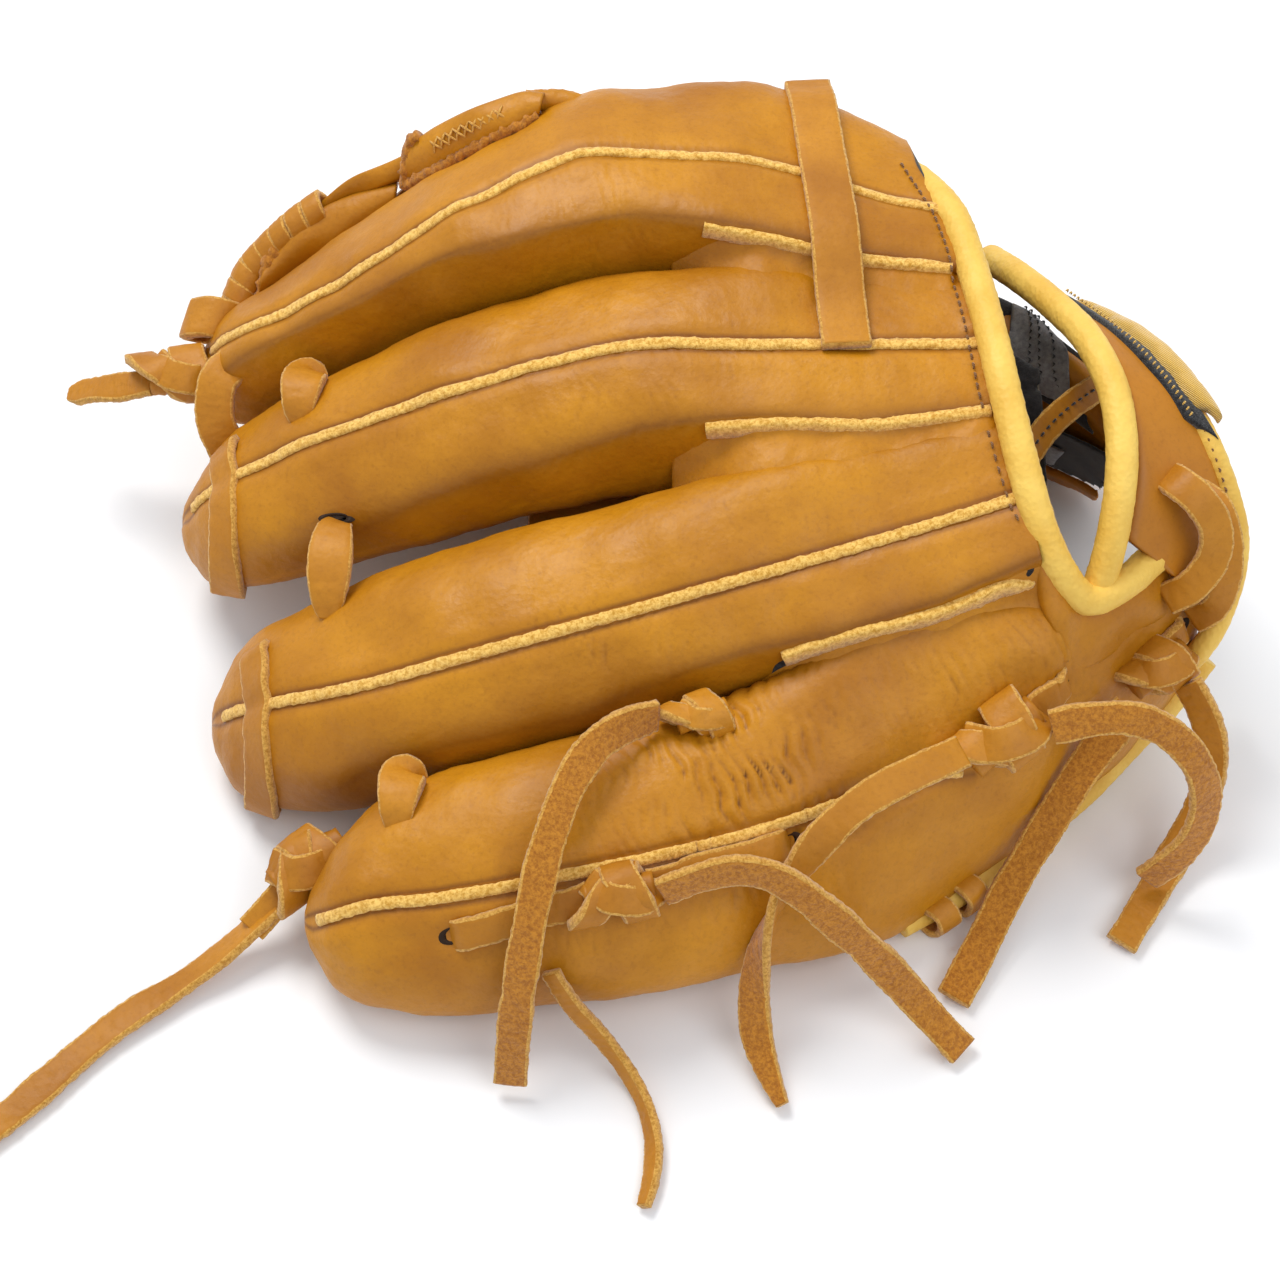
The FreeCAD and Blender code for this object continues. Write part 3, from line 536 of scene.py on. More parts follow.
def sweep(name, path, ups, outline, materials, fuzz, seed, sides=None, closed=False, widths=None):
    """A solid strip or roll: an outline of (side, lift) points carried along a path and roughened by fuzz."""
    path = np.asarray(path, float)
    outline = np.asarray(outline, float)
    _, side, lift = frames(path, ups, closed)
    scale = np.ones(len(path)) if widths is None else np.asarray(widths, float)
    points = (path[:, None, :] + side[:, None, :] * (outline[None, :, 0] * scale[:, None])[..., None]
              + lift[:, None, :] * outline[None, :, 1][..., None])
    outward = unit(points - (path[:, None, :] + lift[:, None, :] * outline[:, 1].mean()))
    random = np.random.default_rng(seed)
    jitter = random.normal(scale=fuzz * 0.5, size=points.shape[:2]) + fuzz * ripple(points, 2.4, seed)
    points = points + outward * jitter[..., None]
    rings, across = len(path), len(outline)
    sides = sides or [0] * across
    slots = sides * (rings if closed else rings - 1)
    if not closed:
        slots += [max(sides)] * 2
    faces = loop_faces(rings, across, True) if closed else tube_faces(rings, across)
    return add_mesh(name, points.reshape(-1, 3), faces, materials, slots)


def round_outline(radius, count, flat=1.0):
    turn = np.linspace(0, 2 * math.pi, count, endpoint=False)
    return np.stack([radius * np.cos(turn), radius * flat * np.sin(turn)], axis=1)


def strip_outline(width, thickness):
    """A flat strip with softened edges, and the material of each side: 0 on top, 1 below, 2 at the edges."""
    w, t = width / 2, thickness / 2
    soft = min(0.5, t * 0.6)
    ends = np.linspace(0.6, math.pi - 0.6, 3)
    top = [(x, t + 0.10 * math.cos(math.pi * x / width)) for x in np.linspace(w - soft, -w + soft, 7)]
    left = [(-w - 0.12 * math.sin(a), t * math.cos(a)) for a in ends]
    low = [(x, -t) for x in np.linspace(-w + soft, w - soft, 7)]
    right = [(w + 0.12 * math.sin(a), -t * math.cos(a)) for a in ends]
    return np.array(top + left + low + right), [0] * 6 + [2] * 4 + [1] * 6 + [2] * 4


# ---------------------------------------------------------------- finger leather

# The height given where no leather lies over a place.
NOWHERE = -40.0


def plan_limit(line, x):
    xs, ys = zip(*line)
    return np.interp(x, xs, ys)


def soft_limit(value, limit, sign):
    """value held below (sign 1) or above (sign -1) the limit, with a rounded corner."""
    corner = 1.1
    return value - sign * corner * np.logaddexp(0, sign * (value - limit) / corner)


def ease(value, start, length):
    """From 0 at the start to 1 at start + length, level at both ends."""
    share = np.clip((value - start) / length, 0, 1)
    return share * share * (3 - 2 * share)


class Skin:
    """The outer leather of one finger as a grid of points: along the finger, then round it."""

    ALONG, ROUND = 300, 176

    # From these x positions an opened finger follows the wrist edge and shows its lining underneath.
    BACK_FROM, LINED_FROM = 20, 16

    def __init__(self, rows, above, below, gap_above, gap_below, opened, last, seed):
        x0 = rows[0][0]
        share = np.linspace(0, 1, self.ALONG)
        x = x0 + (last - x0) * (0.25 * share ** 2 + 0.75 * share)
        self.turn = np.linspace(0, 2 * math.pi, self.ROUND, endpoint=False) + math.pi / 2
        X = np.repeat(x[:, None], self.ROUND, axis=1)
        start = self.BACK_FROM
        for _ in range(3 if opened else 0):
            end = plan_limit(BACK_END, self.section(rows, X, opened)[..., 1])
            near = np.clip((x[:, None] - start) / (last - start), 0, 1)
            X = np.where(near > 0, start + (end - start) * near, X)
        P = self.section(rows, X, opened)
        high = plan_limit(above, P[..., 0]) - gap_above
        low = plan_limit(below, P[..., 0]) + gap_below
        squeezed = np.exp(-np.minimum(np.abs(high - P[..., 1]), np.abs(P[..., 1] - low)) / 2.5)
        P[..., 1] = soft_limit(P[..., 1], high, 1)
        P[..., 1] = soft_limit(P[..., 1], low, -1)
        self.points = P
        # Painted shade along the valleys, where a finger's upper half is pressed against its neighbour.
        self.painted_shade_and_pores = 0.75 * squeezed * np.maximum(0, np.sin(self.turn))[None, :] ** 0.3
        self.push(0.55 * ripple(P, 34, seed) + 0.22 * ripple(P, 13, seed + 1)
                  + 0.05 * ripple(P, 4.0, seed + 2))

    def section(self, rows, X, opened):
        """Rounded sections, squarer toward the wrist. An opened finger's lower half lifts to a thin sheet."""
        values = blend_table(rows, X)
        y, z, a, b, roll = (values[..., k] for k in range(5))
        roll = np.radians(roll)
        square = 0.16 * np.clip((X + 60) / 60, 0, 1)
        if opened:
            square = square + 0.42 * ease(X, -4, 40)
        power = 1 - square
        cosine, sine = np.cos(self.turn), np.sin(self.turn)
        stretch = (np.abs(cosine) ** (2 / power) + np.abs(sine) ** (2 / power) + 1e-12) ** (-power / 2)
        u = a * cosine * stretch
        v = b * sine * stretch
        if opened:
            share = ease(X, 14, 22)
            sheet = np.abs(v) - 2.8
            v = np.where(sine < 0, v * (1 - share) + sheet * share, v)
        c, s = np.cos(roll), np.sin(roll)
        return np.stack([X, y + u * c - v * s, z + u * s + v * c], axis=-1)

    def normals(self):
        P = self.points
        along = np.gradient(P, axis=0)
        around = np.roll(P, -1, axis=1) - np.roll(P, 1, axis=1)
        normal = unit(np.cross(around, along))
        centre = P.mean(axis=1, keepdims=True)
        flip = np.sign((normal * (P - centre)).sum(axis=(1, 2)))
        return normal * np.sign(flip.sum() or 1)

    def push(self, amount):
        self.points = self.points + self.normals() * np.asarray(amount)[..., None]

    # Painted shade: the shade mark raised to at least the given amount.
    def paint_shade(self, shade_amount):
        self.painted_shade_and_pores = np.maximum(self.painted_shade_and_pores, shade_amount)

    def seam(self, column, last=200):
        """Pull the leather in beside a welt, as far as x = last, with a line of painted shade at its foot."""
        line = self.points[:, column]
        gap = np.linalg.norm(self.points - line[:, None, :], axis=-1)
        here = (line[:, 0] < last)[:, None]
        self.paint_shade(here * 0.85 * np.exp(-((gap - 1.9) / 0.75) ** 2))
        self.push(here * (-0.75 * np.exp(-(gap / 2.6) ** 2) + 0.28 * np.exp(-((gap - 5.5) / 2.5) ** 2)))

    def wrinkle(self, centre, direction, reach, spacing, depth, seed, shade_amount):
        """Fine creases across the given direction round a point, fading out over reach = (along, across), with
        painted shade in their troughs.
        """
        P = self.points
        away = P - np.asarray(centre, float)
        direction = unit(direction)
        along = away @ direction
        across = np.linalg.norm(away - along[..., None] * direction, axis=-1)
        fade = np.exp(-(along / reach[0]) ** 2 - (across / reach[1]) ** 2)
        phase = (along / spacing + 0.55 * ripple(P, spacing * 7, seed)
                 + 0.2 * ripple(P, spacing * 2.5, seed + 5))
        crest = np.abs(np.sin(math.pi * phase)) ** 0.6
        broken = np.clip(0.55 + 0.6 * ripple(P, spacing * 4, seed + 9), 0, 1)
        self.push(depth * fade * broken * (crest - 0.75))
        self.paint_shade(shade_amount * fade * broken * np.clip(1 - 1.8 * crest, 0, 1))

    def dent(self, centre, reach, depth, shade_amount):
        gap = np.linalg.norm(self.points - np.asarray(centre, float), axis=-1)
        self.push(-depth * np.exp(-(gap / reach) ** 2))
        # Painted shade in the hollow.
        self.paint_shade(shade_amount * np.exp(-(gap / (0.7 * reach)) ** 2))

    def groove(self, points, depth, reach, shade_amount):
        """A sewn or folded line pressed into the leather along a run of points, with painted shade along its
        bottom.
        """
        line = smooth_path(points, 60)
        gap = np.min([np.linalg.norm(self.points - p, axis=-1) for p in line], axis=0)
        bank = np.exp(-((gap - 2.6 * reach) / reach) ** 2)
        self.push(-depth * np.exp(-(gap / reach) ** 2) + 0.4 * depth * bank)
        self.paint_shade(shade_amount * np.exp(-(gap / (0.6 * reach)) ** 2))

    def nearest(self, point, lift):
        """The leather's point nearest to the given one, moved out along its normal."""
        P, N = self.points.reshape(-1, 3), self.normals().reshape(-1, 3)
        k = np.argmin(((P - np.asarray(point, float)) ** 2).sum(axis=1))
        return P[k] + N[k] * lift, N[k]

    def run(self, points, lift):
        """A line over the leather that follows it at a height, through the given points."""
        found = [self.nearest(p, lift) for p in smooth_path(points, 24)]
        path, normal = (np.array(part) for part in zip(*found))
        for _ in range(3):
            path[1:-1] = 0.25 * path[:-2] + 0.5 * path[1:-1] + 0.25 * path[2:]
        return path, unit(normal + np.roll(normal, 1, axis=0) + np.roll(normal, -1, axis=0))

    def build(self, name, opened):
        """The leather as a mesh with a rounded end, flattened where it lies on the floor."""
        P = self.points.copy()
        z = P[..., 2]
        P[..., 2] = np.where(z < 1.2, 0.25 + 0.95 * np.exp((z - 1.2) / 2), z)
        middle = P[0].mean(axis=0)
        caps = [middle + (P[0] - middle) * size + np.array([-bulge, 0, 0])
                for size, bulge in ((0.12, 2.8), (0.4, 2.4), (0.72, 1.5))]
        rings = np.concatenate([caps, P])
        under = np.sin(self.turn) < 0
        lined = under & np.roll(under, -1)
        slots = []
        for ring in rings[:-1]:
            inside = opened and ring[:, 0].mean() > self.LINED_FROM
            slots += [int(inside and side) for side in lined]
        painted_shade_and_pores = np.vstack([self.painted_shade_and_pores[:1]] * 3 + [self.painted_shade_and_pores])
        return add_mesh(name, rings.reshape(-1, 3), tube_faces(*rings.shape[:2]), [M["shell"], M["lining"]],
                        slots + [0, int(opened)], painted_shade_and_pores.reshape(-1))

    def line(self, first, last, column):
        """Points and normals of the leather along one column between two x positions."""
        line, normal = self.points[:, column], self.normals()[:, column]
        keep = (line[:, 0] >= first) & (line[:, 0] <= last)
        return line[keep], normal[keep]

    def height(self, x, y):
        """The highest z of the leather within 2 mm of a plan position, far below where there is none."""
        P = self.points.reshape(-1, 3)
        gap = (P[:, 0] - x) ** 2 + (P[:, 1] - y) ** 2
        near = P[gap < 4.0, 2]
        return near.max() if len(near) else NOWHERE


def top_height(skins, names, x, y):
    return max(skins[name].height(x, y) for name in names)


# For each finger: its body, the column of points its welt runs along, and the welt's first and last x.
WELTS = {"index": ("hand", 5, -116, 84), "middle": ("hand", 0, -119, 88), "ring": ("pinky_side", 0, -107, 92),
         "little": ("pinky_side", 0, -77, 78)}

# Creases where the glove bends: finger, centre, direction, reach, spacing, depth, seed and the strength of the
# painted shade in their troughs.
WRINKLES = [
    ("index", (-8, 92, 102), (1, 0.2, 0), (28, 18), 2.6, 0.5, 3, 0.25),
    ("index", (25, 96, 104), (1, 0.1, 0), (18, 16), 3.1, 0.24, 4, 0.25),
    ("index", (-60, 88, 84), (1, 0.1, 0.2), (30, 14), 3.6, 0.14, 12, 0.25),
    ("middle", (0, 38, 84), (1, 0.35, 0), (28, 14), 2.6, 0.7, 5, 0.5),
    ("middle", (28, 62, 96), (1, 0, 0), (20, 18), 3.0, 0.18, 6, 0.25),
    ("middle", (-62, 48, 72), (1, 0, 0.2), (28, 16), 3.4, 0.14, 13, 0.25),
    ("ring", (-5, -14, 64), (1, -0.3, 0), (32, 14), 2.8, 0.45, 7, 0.4),
    ("ring", (30, 12, 78), (1, 0, 0), (22, 14), 3.2, 0.16, 14, 0.25),
    ("little", (23, -43, 52), (0.95, 0.3, 0.1), (25, 27), 3.4, 2.3, 8, 1.0),
    ("little", (84, -24, 60), (0.8, 0.6, 0), (24, 20), 3.0, 0.8, 9, 0.5),
    ("little", (114, -10, 54), (0.7, 0.7, 0), (20, 16), 2.8, 0.8, 15, 0.5),
    ("little", (-6, -78, 36), (1, 0, 0.2), (22, 12), 3.0, 0.32, 10, 0.3),
]
# Puckers round the laced holes, and the index finger's underside drawn in beside the thumb: finger, centre,
# reach, depth and the strength of the painted shade in the hollow.
DENTS = [
    ("little", (11, -28, 54), 8, 1.4, 0.5), ("little", (-43, -76, 32.8), 4, 1.2, 0.6),
    ("little", (34, -56, 41), 4, 1.0, 0.6), ("little", (102, -19, 52), 5, 1.0, 0.5),
    ("index", (14, 115, 67), 18, 2.2, 0.0),
]
HEEL_PANEL_SEAM = [(37, -60, 35.5), (52, -51, 39), (64, -43, 42), (74, -37, 43.5)]


def make_skins():
    skins = {
        "index": Skin(INDEX, OPEN_ABOVE, INDEX_MIDDLE_VALLEY, 0, 0.3, True, 88, 11),
        "middle": Skin(MIDDLE, INDEX_MIDDLE_VALLEY, MIDDLE_RING_VALLEY, 0.3, 1.5, True, 92, 21),
        "ring": Skin(RING, MIDDLE_RING_VALLEY, RING_LITTLE_VALLEY, 1.5, 0.3, True, 98, 31),
        "little": Skin(LITTLE, RING_LITTLE_VALLEY, OPEN_BELOW, 0.3, 0, False, 141, 41),
        "thumb": Skin(THUMB, OPEN_ABOVE, OPEN_BELOW, 0, 0, False, 137, 51),
    }
    for name in ("index", "middle", "ring"):
        skins[name].seam(WELTS[name][1])
    skins["little"].seam(0, last=82)
    for name, *crease in WRINKLES:
        skins[name].wrinkle(*crease)
    for name, *hollow in DENTS:
        skins[name].dent(*hollow)
    skins["little"].groove(HEEL_PANEL_SEAM, 0.7, 1.3, 0.8)
    for name, skin in skins.items():
        leather = skin.build(name + "_leather", name in ("index", "middle", "ring"))
        settle(leather, WELTS[name][0] if name in WELTS else "thumb_side", "shell_leather", name + "_shell")
    return skins


WELT_STEP = 0.7


def welt_outline(depth):
    """The section of a welt: a rounded strip that reaches a depth into the seam."""
    w, height = 1.45, 1.2
    return [(w, -depth), (w * 1.02, 0), (w * 0.95, height * 0.7), (w * 0.5, height), (0, height * 1.05),
            (-w * 0.5, height), (-w * 0.95, height * 0.7), (-w * 1.02, 0), (-w, -depth)]


class TopMap:
    """Heights of the back of the glove on a plan grid, with leather stretched over the valleys."""

    LOW, HIGH, REACH = np.array([-10, -50]), np.array([124, 132]), 15

    def __init__(self, skins):
        size = self.HIGH - self.LOW + 1
        top = np.full(size, NOWHERE)
        for name in ("index", "middle", "ring", "little"):
            P = skins[name].points.reshape(-1, 3)
            cell = np.round(P[:, :2] - self.LOW).astype(int)
            keep = ((cell >= 0) & (cell < size)).all(axis=1)
            np.maximum.at(top, (cell[keep, 0], cell[keep, 1]), P[keep, 2])
        steps = np.arange(-self.REACH, self.REACH + 1)
        drop = steps ** 2 / 80.0
        above = np.max([np.roll(top, k, axis=1) - d for k, d in zip(steps, drop)], axis=0)
        taut = np.min([np.roll(above, k, axis=1) + d for k, d in zip(steps, drop)], axis=0)
        for _ in range(5):
            soften(taut)
        self.taut = taut

    def at(self, x, y):
        fx, fy = np.clip(np.asarray(x) - self.LOW[0], 0, 133), np.clip(np.asarray(y) - self.LOW[1], 0, 181)
        i, j = np.floor(fx).astype(int), np.floor(fy).astype(int)
        s, t = fx - i, fy - j
        T = self.taut
        return (T[i, j] * (1 - s) * (1 - t) + T[i + 1, j] * s * (1 - t) + T[i, j + 1] * (1 - s) * t
                + T[i + 1, j + 1] * s * t)


def valley_leather(name, surface, line, first, body, seed):
    """The back panel's leather bridging the valley between two fingers, out to the wrist edge."""
    t, across = np.linspace(0, 1, 110), np.linspace(-13, 13, 44)
    middle = plan_limit(line, first + (92 - first) * t)
    spread = 0.3 + 0.7 * np.sin(np.clip(3.2 * t, 0, 1) * math.pi / 2)
    y = middle[:, None] + across[None, :] * spread[:, None]
    end = plan_limit(BACK_END, y)
    x = first + (end + 1.5 - first) * t[:, None]
    z = surface.at(np.minimum(x, end - 2.5), y) - 0.55 - 14 * np.clip(1 - (x - first) / 24, 0, 1) ** 2
    z = z - 2.5 * (across[None, :] / 13) ** 4
    top = np.stack([x, y, z], axis=-1)
    top[..., 2] += 0.35 * ripple(top, 16, seed + 300) + 0.1 * ripple(top, 5, seed + 310)
    grid = np.concatenate([top, (top - UP * 1.4)[:, ::-1]], axis=1)
    sheet = add_mesh(name, grid.reshape(-1, 3), tube_faces(*grid.shape[:2]), [M["shell"]])
    if name == "middle_ring_join":
        fold(sheet, "pinky_side", VALLEY_FOLD, "shell_leather")
    else:
        settle(sheet, body, "shell_leather")


def make_welts(skins):
    for k, (name, (body, column, first, last)) in enumerate(WELTS.items()):
        line, normal = skins[name].line(first, last, column)
        path = even(line, int(run_length(line) / WELT_STEP))
        ups = resample(normal, line[:, 0], path[:, 0])
        strip = sweep(name + "_welt_strip", path, ups, welt_outline(2.0), [M["welt"]], 0.11, k + 60)
        settle(strip, body, "welt", name + "_welt")
    surface = TopMap(skins)
    valleys = [
        ("index_middle", INDEX_MIDDLE_VALLEY, 16, 78, "hand", 0.0),
        ("middle_ring", MIDDLE_RING_VALLEY, 16, 85, "hand", 1.4),
        ("ring_little", RING_LITTLE_VALLEY, 34, 94, "pinky_side", 0.0),
    ]
    for k, (name, line, first, last, body, offset) in enumerate(valleys):
        x = np.linspace(first, last, 9)
        y = plan_limit(line, x) + offset
        points = np.stack([x, y, surface.at(x, y) - 0.5], axis=1)
        valley_leather(name + "_join", surface, line, first - 8, body, k)
        path = smooth_path(points, int((last - first) / WELT_STEP))
        strip = sweep(name + "_welt_strip", path, UP, welt_outline(3.0), [M["welt"]], 0.11, k + 70)
        settle(strip, body, "welt", name + "_welt")


# ---------------------------------------------------------------- rolls, strap and patch

def roll(name, points, radius, seed):
    path = smooth_path(points, 150)
    return sweep(name, path, UP, round_outline(radius, 22), [M["binding"]], 0.06, seed)


def make_bindings(skins):
    path = smooth_path([(68.5, 125, 85)] + BACK_EDGE + HEEL_EDGE[1:] + [(138, 19, 58)], 260)
    edge = sweep("opening_edge_roll", path, UP, round_outline(4.0, 22), [M["binding"]], 0.07, 80)
    fold(edge, "pinky_side", EDGE_FOLD, "binding", "back_binding", "heel_corner_binding")
    inner = [(93.7, 107, 70)] + [pair[0] for pair in STRAP] + [(112, 2.7, 70), (110, -1, 62)]
    outer = [pair[1] for pair in STRAP] + [(141.6, 1.8, 38), (138, 1.5, 30)]
    for part, points, radius, seed in (("inner", inner, 3.9, 82), ("outer", outer, 3.0, 83)):
        fold(roll(f"strap_{part}_roll", points, radius, seed), "pinky_side", STRAP_FOLD, "binding",
             f"strap_{part}_binding")
    heel = [(x - 1, y + 5, z + 1.5) for x, y, z in HEEL_ROLL]
    settle(roll("little_heel_roll", heel, 3.2, 84), "pinky_side", "binding", "little_heel_binding")
    for k, (x, y) in enumerate(((74, -56), (81, -50))):
        band(f"heel_wrap_{k}", (x, y, 5.5), (0.75, 0.66, 0), UP, 4.6, 4.4, 6.5, 1.8, "pinky_side", 12, 85 + k)
    make_edge_stitches(skins)
    make_heel_collar(skins)


def make_heel_collar(skins):
    """The heel leather turned up to the rolled edge, and the strap's leather carried down behind it."""
    edge = smooth_path([(93, 12, 87)] + HEEL_EDGE[2:] + [(144, 16, 57)], 60)
    low = np.array([skins["little"].nearest(p + np.array([3.0, -15, -13]), -0.5)[0] for p in edge])
    low = smooth_path(low[::8], 60)
    normal = facing(unit(np.cross(np.gradient(edge, axis=0), edge - low)), TO_CAMERA)
    collar = panel("heel_collar", edge - UP * 1.0, low, normal, 1.4, [M["shell"]], 1.8, seed=90, rumple=0.3)
    settle(collar, "pinky_side", "shell_leather")


def make_edge_stitches(skins):
    """The sewn row on the back panel, just before its rolled edge."""
    edge = smooth_path(BACK_EDGE + HEEL_EDGE[1:4], 200)
    rows = (("hand", 112, 36, ("index", "middle")), ("pinky_side", 29, 8, ("ring", "little")))
    for k, (body, first, last, names) in enumerate(rows):
        y = np.linspace(first, last, 26)
        x = np.interp(-y, -edge[:, 1], edge[:, 0]) - 5.6
        points = [(a, b, top_height(skins, names, a, b)) for a, b in zip(x, y)]
        row = smooth_path(points, 120)
        stitches(f"edge_stitches_{k}", row, UP, 2.6, 1.9, 0.34, "thread", 0.15, body=body)


def strap_surface(start, end, lift, count=90, span=(0.0, 1.0)):
    """The two long edges of a strip on the strap, from start to end across it, and the normals there."""
    keep = slice(int(span[0] * 199), int(span[1] * 199) + 1)
    inner, outer = (even(smooth_path([pair[k] for pair in STRAP], 200)[keep], count) for k in range(2))
    start, end = (np.interp(np.linspace(0, 1, count), (0, 1), np.broadcast_to(v, 2))[:, None]
                  for v in (start, end))
    across = outer - inner
    normal = facing(unit(np.cross(across, np.gradient((inner + outer) / 2, axis=0))), UP)
    return inner + across * start + normal * lift, inner + across * end + normal * lift, normal


def panel(name, first_edge, last_edge, normal, thickness, materials, crown, painted_edge_shade=0.0, seed=5,
          rumple=0.15):
    """A padded panel between two edge lines, crowned in its middle, closed round its edges, and with painted
    shade of the given strength along the two edge lines.
    """
    across = 26
    count = len(first_edge)
    t = np.linspace(0, 1, across)
    bulge = crown * np.sin(math.pi * t) ** 0.7
    edge = np.clip(np.minimum(t, 1 - t) * across / 3.0, 0, 1)
    corner = np.sqrt(1 - (1 - edge) ** 2)
    top = (first_edge[:, None] * (1 - t[None, :, None]) + last_edge[:, None] * t[None, :, None]
           + normal[:, None] * (bulge + thickness * (corner - 1) * 0.5)[None, :, None])
    top = top + normal[:, None] * (rumple * ripple(top, 14, seed))[..., None]
    low = top - normal[:, None] * (thickness * (0.25 + 0.75 * corner))[None, :, None]
    grid = np.concatenate([top, low[:, ::-1]], axis=1)
    slots = ([0] * (across - 1) + [1 % len(materials)] * (across + 1)) * (count - 1) + [0, 0]
    # Painted shade along the two edge lines, fading toward the middle.
    shade_amount = painted_edge_shade * np.exp(-np.minimum(t, 1 - t) * across / 1.6)
    painted_shade_and_pores = np.tile(np.concatenate([shade_amount, shade_amount[::-1]]), count)
    return add_mesh(name, grid.reshape(-1, 3), tube_faces(count, 2 * across), materials, slots, painted_shade_and_pores)


def stitches(name, path, ups, pitch, length, radius, material, lift, tilt=0.0, body="hand"):
    """A row of sewn threads, each a small rounded piece dipping into the leather at both ends."""
    path = np.asarray(path, float)
    count = max(2, int(run_length(path) / pitch))
    centres = even(path, count)
    tangent, side, up = frames(centres, ups if np.ndim(ups) == 1 else stretch_over(ups, count))
    direction = unit(tangent * math.cos(tilt) + side * math.sin(tilt))
    steps = np.linspace(-1, 1, 7)
    ring = np.linspace(0, 2 * math.pi, 6, endpoint=False)
    thread = loop_faces(len(steps), len(ring))
    points, faces = [], []
    for c, d, s, n in zip(centres, direction, np.cross(direction, up), up):
        base = len(points)
        for t in steps:
            middle = c + d * t * length / 2 + n * (lift + radius * (1.1 - 2.0 * t * t))
            size = radius * math.sqrt(max(0.08, 1 - 0.8 * t * t))
            points += [middle + s * size * math.cos(a) + n * size * math.sin(a) for a in ring]
        faces += [tuple(base + k for k in face) for face in thread]
    settle(add_mesh(name, points, faces, [M[material]]), body, None)


def make_strap():
    inner, outer, normal = strap_surface(0.10, 0.93, 1.6)
    strap = panel("wrist_strap_leather", inner, outer, normal, 3.4, [M["strap"], M["lining"]], 0.9,
                  painted_edge_shade=0.6)
    fold(strap, "pinky_side", STRAP_FOLD, "strap_leather", "wrist_strap")
    inner, outer, normal = strap_surface((0.16, 0.70), (0.66, 1.04), 3.4, span=(0.15, 0.58))
    backing = panel("patch_felt_strip", inner, outer, normal, 2.0, [M["black_felt"]], 0.3, seed=6, rumple=0.1)
    settle(backing, "hand", "patch_backing", "patch_backing")
    inner, outer, normal = strap_surface((0.52, 0.90), (1.0, 1.14), 4.8, span=(0.08, 0.53), count=120)
    wave = 1.5 * np.abs(np.sin(np.linspace(0, 6 * math.pi, 120)))[:, None]
    outward = unit(outer - inner)
    face = panel("embroidered_edge", inner - outward * wave * 0.8, outer + outward * wave, normal, 2.6,
                 [M["gold"]], 1.8, seed=7, rumple=0.3)
    settle(face, "hand", "patch_face", "patch_face")
    edge, _, normal = strap_surface((0.20, 0.74), 1.0, 4.3, span=(0.16, 0.57))
    stitches("patch_edge_stitches", edge, normal, 1.5, 1.3, 0.28, "gold", 0.1, 1.2)
    edge, _, normal = strap_surface(0.90, 0.5, 2.3, span=(0.02, 0.97))
    stitches("strap_outer_stitches", edge, normal, 2.5, 1.8, 0.3, "thread", 0.2)
    strip_piece("strap_lace_loop_piece", STRAP_LOOP, TO_CAMERA, 8, 2.6, "pinky_side", 88, "strap_lace_loop")
    strip_piece("strap_lace_under", STRAP_UNDER, TO_CAMERA, 7.0, 2.4, "pinky_side", 89)


# ---------------------------------------------------------------- laces and knots

def spline_points(name, route, count):
    """Evenly spaced points on the NURBS spline that has the route's points as its control points."""
    curve = bpy.data.curves.new(name + "_line", "CURVE")
    curve.dimensions = "3D"
    curve.resolution_u = 24
    spline = curve.splines.new("NURBS")
    spline.points.add(len(route) - 1)
    for point, place_at in zip(spline.points, place(route)):
        point.co = (*place_at, 1)
    spline.order_u = 3
    spline.use_endpoint_u = True
    holder = bpy.data.objects.new(name + "_line", curve)
    bpy.context.scene.collection.objects.link(holder)
    bpy.context.view_layer.update()
    line = bpy.data.meshes.new_from_object(holder)
    points = np.array([tuple(v.co) for v in line.vertices]) * 1000 - SHIFT
    bpy.data.objects.remove(holder)
    bpy.data.meshes.remove(line)
    return even(points, count)


def turned(vectors, axes, angles):
    """Each vector turned round its own axis by its own angle in radians."""
    c, s = np.cos(angles)[:, None], np.sin(angles)[:, None]
    dot = (vectors * axes).sum(axis=1, keepdims=True)
    return vectors * c + np.cross(axes, vectors) * s + axes * dot * (1 - c)


# For each tail: width, whether its flesh side shows, lean in degrees at places from 0 to 1, taper at the end.
TAIL_LOOKS = {
    "little_tip_tail": (7.5, False, [(0, 55), (0.25, 45), (0.6, 25), (1, 10)], 0.0),
    "knuckle_tail": (8, True, [(0, -40), (0.2, -10), (0.5, 0), (1, 5)], 0.0),
    "side_tail": (8, True, [(0, 30), (0.25, 40), (0.5, 15), (1, -10)], 0.0),
    "side_thin_tail": (4.5, False, [(0, 30), (1, 55)], 0.3),
    "heel_left_tail": (8, True, [(0, 200), (0.3, 190), (0.55, 100), (0.75, 30), (1, 10)], 0.65),
    "heel_right_tail": (8, True, [(0, 20), (0.35, 10), (0.7, -20), (1, -35)], 0.0),
    "wrist_suede_tail": (8.5, True, [(0, 0), (1, 5)], 0.0),
    "wrist_grain_tail": (8, False, [(0, 50), (0.4, 30), (1, 15)], 0.0),
    "index_tip_tail": (7.5, False, [(0, 20), (1, 30)], 0.5),
}


